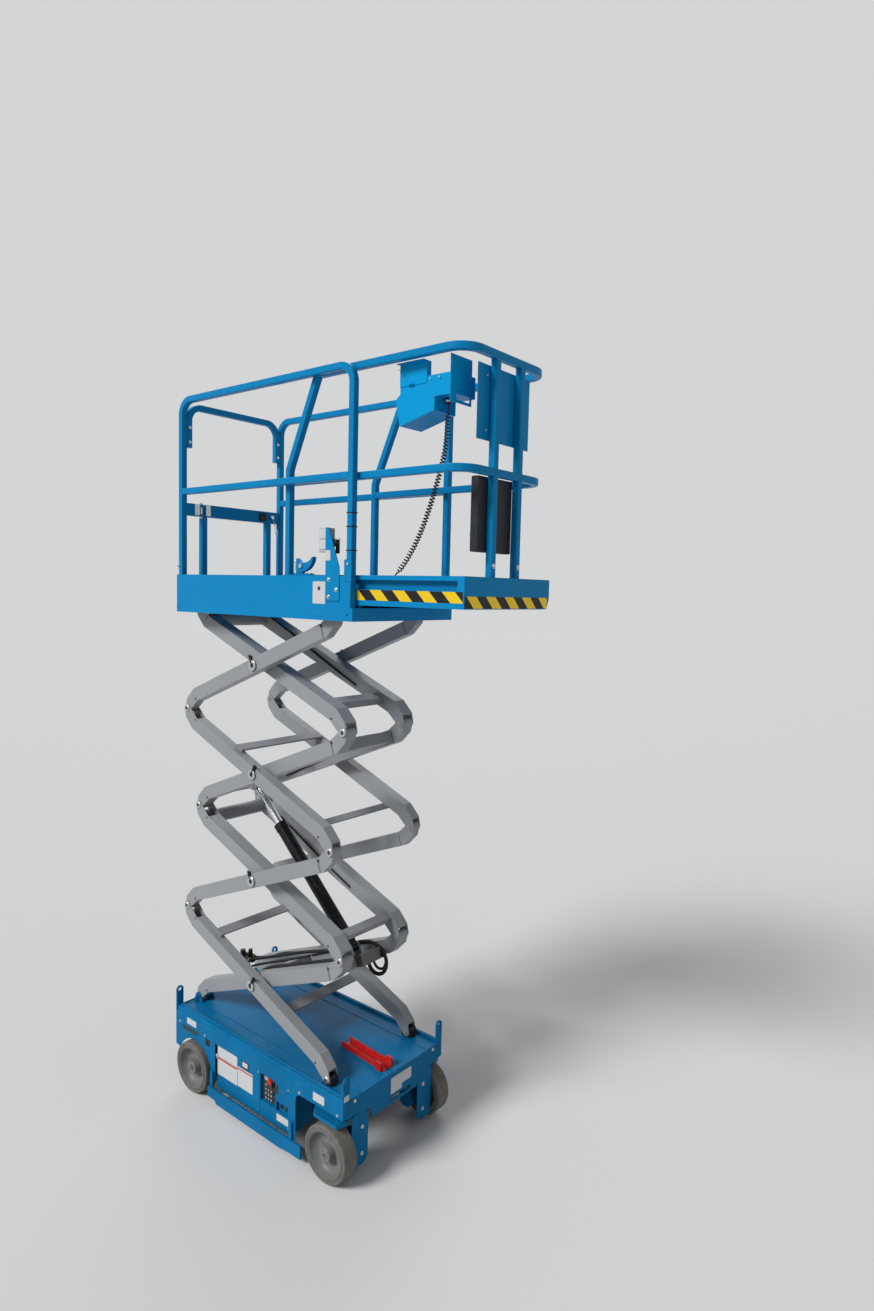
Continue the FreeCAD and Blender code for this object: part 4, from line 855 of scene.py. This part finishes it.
def pinTabs():
    # the small plate and bolt that keep each middle pin from turning
    for level in range(1, 5):
        for side, sideName in sides:
            out = Vector((0, side, 0))
            low, high = (armSpot("outer", level, 0.5, pinTab[end], side * pinTab["face"]) for end in ("low", "high"))
            plate = rod(low + out * pinTab["lift"], high + out * pinTab["lift"], pinTab["radius"], 16, 0.001)
            bolt = boltHead(high + out * pinTab["seat"], out, pinTab["bolt"])
            finish(joined([plate, bolt]), "mid_pin_tab_%d_%s" % (level, sideName), "outer_%d" % level,
                   "plasticBlack")


def armShadeDiscs():
    # flat black discs near the arms' ends: painted shade where small holes are
    for kind, faceY in (("inner", pins["innerFace"]), ("outer", pins["outerFace"])):
        for level in range(1, 5):
            made = []
            for side in (-1, 1):
                for share, above in shadeDisc["spots"]:
                    spot = armSpot(kind, level, share, above, side * faceY)
                    out = spot + Vector((0, side * shadeDisc["depth"], 0))
                    made.append(rod(spot, out, shadeDisc["radius"], 20, 0))
            finish(joined(made), "%s_arm_shade_discs_%d" % (kind, level), "%s_%d" % (kind, level), "hoseBlack")


pinCaps()
armShadeDiscs()
boltSets = [
    # name, body, places, axis, radius
    ("front_plate_bolts", "chassis", [(frontX, -0.30, 0.420), (frontX, 0.30, 0.420)], forward, 0.006),
    ("band_bolts", "chassis", [(x, bandY, 0.365) for x in (-0.70, -0.46, 0.345, 0.62)], nearward, 0.005),
    ("module_screws", "chassis", [(x, moduleY, z) for x in (0.0, 0.245) for z in (0.33, 0.12)], nearward, 0.0035),
    ("platform_bolts", "platform", [(-0.727, platformY, 3.029), (0.628, platformY, 3.035)], nearward, 0.007),
    ("bracket_bolts", "platform", [(x, platformY - 0.0055, z) for x, z in (
        (0.506, 2.962), (0.556, 2.915), (0.506, 2.882))], nearward, 0.007),
    ("hoop_bolts", "platform", [(hinge["x"] - 0.0175, side * (postY - 0.001), z)
                                for side in (-1, 1) for z in (3.80, 3.72)], (-1, 0, 0), 0.007),
    ("hoop_bolts_inner", "platform", [(hinge["x"] + 0.0175, side * (postY - rail["size"]), z)
                                      for side in (-1, 1) for z in (3.80, 3.72)], forward, 0.006),
    ("post_bolts", "extension", [(1.2525, y, 3.035) for y in (-0.095, 0.095)], forward, 0.008),
    ("sheet_bolts", "extension", [(1.217, y, z) for y in (-0.13, 0.13) for z in (3.62, 3.85)], forward, 0.004),
]
for side, yoke in steered:
    boltSets.append(("guard_bolts_" + yoke, yoke, [(0.6503, side * 0.235, z) for z in (0.250, 0.110)], forward,
                     0.007))
for setName, setBody, places, *head in boltSets:
    boltSet(setName, setBody, [at(*place) for place in places], *head)
# painted shade: black discs on the platform's near side where holes are
assembled("side_hole_shades", "platform", "hoseBlack", [((x, platformY + 0.001, z), (x, platformY - 0.0004, z), 0.0055)
                                                  for x, z in ((-0.734, 2.798), (0.627, 2.799))])
pinTabs()
print("fasteners made")


panelY = -0.352  # the ground panel's face
stop = dict(place=at(0.099, panelY, 0.3135), base=0.0125, sunk=0.002, profile=[
    (0, 0.0), (0, 0.010), (0.006, 0.010), (0.008, 0.0165), (0.013, 0.0175), (0.017, 0.0160), (0.0185, 0.0110),
    (0.0190, 0.0)])
boltSet("stop_base", "chassis", [stop["place"]], nearward, stop["base"], "keyGrey")
stopKnob = spun(stop["profile"], stop["place"] - Vector((0, stop["sunk"], 0)), nearward, 32)
finish(stopKnob, "stop_button", "chassis", "stopRed")


def turned(x, z, near, far, radius):
    # a rod that lies across the machine
    return ((x, near, z), (x, far, z), radius)


assembled("panel_keys", "chassis", "keyGrey",
          [turned(x, z, panelY, panelY - 0.003, 0.0055) for z in (0.276, 0.252, 0.228, 0.204)
           for x in (0.052, 0.074, 0.096)])
assembled("panel_display", "chassis", "keyGrey", [((0.040, panelY, 0.300), (0.070, panelY - 0.002, 0.320))])
assembled("panel_switch", "chassis", "plasticBlack", [turned(0.120, 0.250, panelY, panelY - 0.010, 0.007),
                                                      turned(0.120, 0.222, panelY, panelY - 0.006, 0.006)])
assembled("module_seams", "chassis", "hoseBlack",
          [((x - 0.0012, moduleY, 0.100), (x + 0.0012, moduleY - 0.0003, 0.352), 0) for x in (0.010, 0.2545)])
assembled("charge_inlet", "chassis", "plasticBlack",
          [((0.157, -0.346, 0.186), (0.234, -0.340, 0.222)), turned(0.176, 0.204, -0.352, -0.342, 0.012),
           turned(0.214, 0.204, -0.352, -0.342, 0.012)])
# painted shade: a dark block on the band stands for the shade inside the module's slots
assembled("module_slot_shade", "chassis", "hoseBlack",
          [((-0.4545, bandY - 0.0003, 0.313), (-0.413, bandY + 0.001, 0.352), 0)])
assembled("module_floor", "chassis", "gearBlack", [((-0.330, -0.362, 0.086), (0.262, -0.335, 0.114))])
deckRib = dict(y=0.254, half=0.004, low=0.438, high=0.4405, rear=-0.600, front=0.648)
for side, sideName in sides:
    ribY = side * deckRib["y"]
    assembled("deck_rib_" + sideName, "chassis", "chassisBlue",
              [((deckRib["rear"], ribY - deckRib["half"], deckRib["low"]),
                (deckRib["front"], ribY + deckRib["half"], deckRib["high"]), -0.001)])

assembled("post_foot", "platform", "railBlue", [((0.604, -0.3735, 2.955), (0.652, -0.3705, 3.056), -0.001)])
band = dict(half=0.0192, deep=0.003, heights=(3.270, 3.207, 3.098))
assembled("cable_ties", "platform", "hoseBlack",
          [((rail["postFront"] - band["half"], -postY - band["half"], z - band["deep"]),
            (rail["postFront"] + band["half"], -postY + band["half"], z + band["deep"]), -0.002)
           for z in band["heights"]])
gateX, plateFace = hinge["x"], hinge["x"] + 0.0152
assembled("gate_hinge_plates", "platform", "boltZinc",
          [((plateFace, -0.284, 3.318), (gateX + 0.0185, -0.2510, 3.380)),
           ((gateX, hinge["y"], 3.302), (gateX, hinge["y"], 3.394), 0.0085)])
assembled("gate_hinge_leaf", "gate", "boltZinc", [((plateFace, -0.2090, 3.318), (gateX + 0.0185, -0.178, 3.380))])
assembled("gate_latch", "gate", "plasticBlack",
          [((gateX + 0.0155, 0.176, 3.322), (gateX + 0.0230, 0.226, 3.372), -0.002)])
assembled("gate_latch_knob", "gate", "boltZinc",
          [((gateX + 0.015, 0.262, 3.348), (gateX + 0.030, 0.262, 3.348), 0.007),
           ((gateX + 0.030, 0.262, 3.348), (gateX + 0.038, 0.262, 3.348), 0.011)])
hose("gate_latch_cable", "gate",
     [at(gateX + 0.022, 0.268, 3.345), at(gateX + 0.030, 0.300, 3.290), at(gateX + 0.026, 0.312, 3.225),
      at(gateX + 0.022, 0.296, 3.250), at(gateX + 0.018, 0.285, 3.330)], 0.0016, "boltZinc")
assembled("outlet_covers", "platform", "labelWhite",
          [((0.436, -0.3735, z), (0.478, -0.3700, z + 0.046), -0.001) for z in (3.104, 3.154)])
assembled("bracket_valve", "platform", "plasticBlack",
          [turned(0.526, 3.130, -0.366, -0.340, 0.013), ((0.526, -0.340, 3.085), (0.526, -0.340, 3.150), 0.010)])
assembled("bracket_nipple", "platform", "boltZinc", [((0.505, -0.352, 3.150), (0.552, -0.352, 3.150), 0.006)])

pedal = dict(near=-0.3200, far=-0.2960, edge=0.002, outline=[
    (0.214, 2.9990), (0.240, 2.9970), (0.270, 3.0010), (0.296, 3.0120), (0.316, 3.0290), (0.329, 3.0500),
    (0.334, 3.0730), (0.326, 3.0735), (0.308, 3.0570), (0.288, 3.0475), (0.262, 3.0440), (0.240, 3.0470),
    (0.226, 3.0570), (0.214, 3.0660), (0.207, 3.0640), (0.209, 3.0400), (0.206, 3.0140)])


def cutPlate(outline, near, far, edge):
    # a plate with the given outline seen from the side, from one distance across to another
    bpy.ops.mesh.primitive_circle_add(vertices=len(outline), radius=1, fill_type="NGON")
    item = bpy.context.object
    for vertex, (x, z) in zip(item.data.vertices, outline):
        vertex.co = at(x, near, z)
    openMesh()
    extrude((0, far - near, 0))
    closeMesh()
    return bevelEdges(item, edge, 2, 60)


claw = cutPlate(pedal["outline"], pedal["near"], pedal["far"], pedal["edge"])
base = block(at(0.192, -0.320, 2.985), at(0.322, -0.296, 2.991), 0.001)
heel = block(at(0.204, -0.3175, 2.991), at(0.256, -0.2985, 3.002), 0.001)
clawPiece = finish(joined([claw, base, heel]), "foot_pedal_dressed", "extension", "railBlue")
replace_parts(clawPiece, "foot_pedal")


def upright(x, y, low, high, radius):
    # a rod that stands on end
    return ((x, y, low), (x, y, high), radius)


assembled("pedal_knob", "extension", "boltZinc",
          [turned(0.245, 3.028, -0.3195, -0.3265, 0.011), upright(0.199, -0.308, 2.991, 3.046, 0.0075),
           upright(0.199, -0.308, 3.044, 3.052, 0.012), upright(0.199, -0.308, 2.991, 2.999, 0.012)])
assembled("pedal_bolts", "extension", "boltZinc",
          [upright(x, -0.308, 2.990, 2.996, 0.007) for x in (0.272, 0.308)])
assembled("box_screws", "extension", "boltZinc",
          [turned(0.850, 3.893, -0.2930, -0.2960, 0.0055), turned(1.010, 3.838, -0.268, -0.2715, 0.0035),
           turned(1.060, 3.838, -0.268, -0.2715, 0.0035)])
assembled("gland_nut", "extension", "boltZinc", [upright(1.060, -0.200, 3.742, 3.752, 0.0165)])
assembled("case_seam", "extension", "hoseBlack", [((1.1745, -0.177, 3.168), (1.2173, 0.081, 3.1705), 0)])

cable = dict(radius=0.0055, y=pins["innerClear"] - 0.006, high=0.012, low=0.002)  # clipped inside the far arms
cableShares = {4: (0.28, 0.5, 0.72, 0.9), 2: (0.30, 0.55, 0.8), 3: (0.25, 0.5, 0.8), 1: (0.45, 0.65, 0.85)}
for level, shares in cableShares.items():
    route = [armSpot("inner", level, share, cable["low" if i % 2 else "high"], cable["y"])
             for i, share in enumerate(shares)]
    hose("arm_cable_%d" % level, "inner_%d" % level, route, cable["radius"])
hoseRuns = [
    # name, radius, points on the lowest inner arms
    ("supply_hose_upper", 0.0085, [(-0.430, -0.105, 0.725), (-0.276, -0.104, 0.786), (-0.059, -0.100, 0.875),
                                   (0.105, -0.098, 0.940), (0.250, -0.095, 0.985)]),
    ("supply_hose_middle", 0.0075, [(-0.440, -0.066, 0.728), (-0.300, -0.062, 0.762), (-0.160, -0.060, 0.838),
                                    (-0.020, -0.062, 0.880), (0.200, -0.058, 0.962)]),
    ("supply_hose_lower", 0.0065, [(-0.400, -0.128, 0.700), (-0.250, -0.126, 0.770), (-0.080, -0.124, 0.838),
                                   (0.120, -0.120, 0.925)]),
    ("cylinder_hose", 0.0105, [(0.235, 0.078, 0.958), (0.330, 0.092, 1.010), (0.425, 0.110, 1.002),
                               (0.476, 0.120, 0.935), (0.462, 0.120, 0.855), (0.405, 0.112, 0.828),
                               (0.352, 0.104, 0.865), (0.352, 0.094, 0.932)]),
    ("cylinder_hose_inner", 0.0075, [(0.240, 0.100, 0.950), (0.325, 0.116, 0.992), (0.400, 0.132, 0.984),
                                     (0.450, 0.142, 0.930), (0.440, 0.142, 0.866), (0.400, 0.134, 0.850),
                                     (0.368, 0.126, 0.884), (0.368, 0.116, 0.930)]),
    ("brake_cable", 0.0050, [(-0.600, -0.150, 0.560), (-0.500, -0.150, 0.556), (-0.390, -0.148, 0.590),
                             (-0.280, -0.146, 0.655)]),
]
# The cylinder's hose loops each get a mesh of their own.
for hoseName, hoseRadius, route in hoseRuns:
    run = hose(hoseName, "inner_1", [at(*point) for point in route], hoseRadius)
    if hoseName.startswith("cylinder_hose"):
        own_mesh(run)
assembled("hose_fittings", "inner_1", "gearBlack",
          [((-0.488, -0.116, 0.690), (-0.420, -0.092, 0.740), -0.002),
           ((-0.486, -0.080, 0.700), (-0.420, -0.052, 0.744), -0.002),
           upright(-0.472, -0.105, 0.716, 0.776, 0.016), ((-0.500, -0.066, 0.722), (-0.436, -0.066, 0.728), 0.016),
           turned(-0.440, 0.712, -0.140, -0.090, 0.012), upright(-0.452, -0.066, 0.742, 0.772, 0.012)])
assembled("hose_nuts", "inner_1", "brassFitting",
          [((-0.425, -0.105, 0.727), (-0.404, -0.105, 0.736), 0.011),
           ((-0.434, -0.066, 0.729), (-0.414, -0.066, 0.734), 0.010)])

# The fender lip goes round each front wheel's arch, and turns with its yoke.
lip = dict(low=0.302, high=0.3295, thick=0.004, edge=0.0012,
           line=[(0.439, 0.352), (0.441, 0.362), (0.466, 0.391), (0.626, 0.391), (0.647, 0.330)])
for side, yoke in steered:
    strips = []
    for (x0, y0), (x1, y1) in zip(lip["line"], lip["line"][1:]):
        start, end = at(x0, side * y0, lip["low"]), at(x1, side * y1, lip["low"])
        height = lip["high"] - lip["low"]
        bpy.ops.mesh.primitive_cube_add(size=1, location=(start + end) / 2 + Vector((0, 0, 0.5 * height)))
        strip = bpy.context.object
        strip.scale = ((end - start).length + 0.5 * lip["thick"], lip["thick"], height)
        strip.rotation_euler = (0, 0, math.atan2(side * (y1 - y0), x1 - x0))
        strips.append(bevelEdges(settle(strip), lip["edge"]))
    finish(joined(strips), "fender_lip_" + yoke, yoke, "chassisBlue")
print("details made")
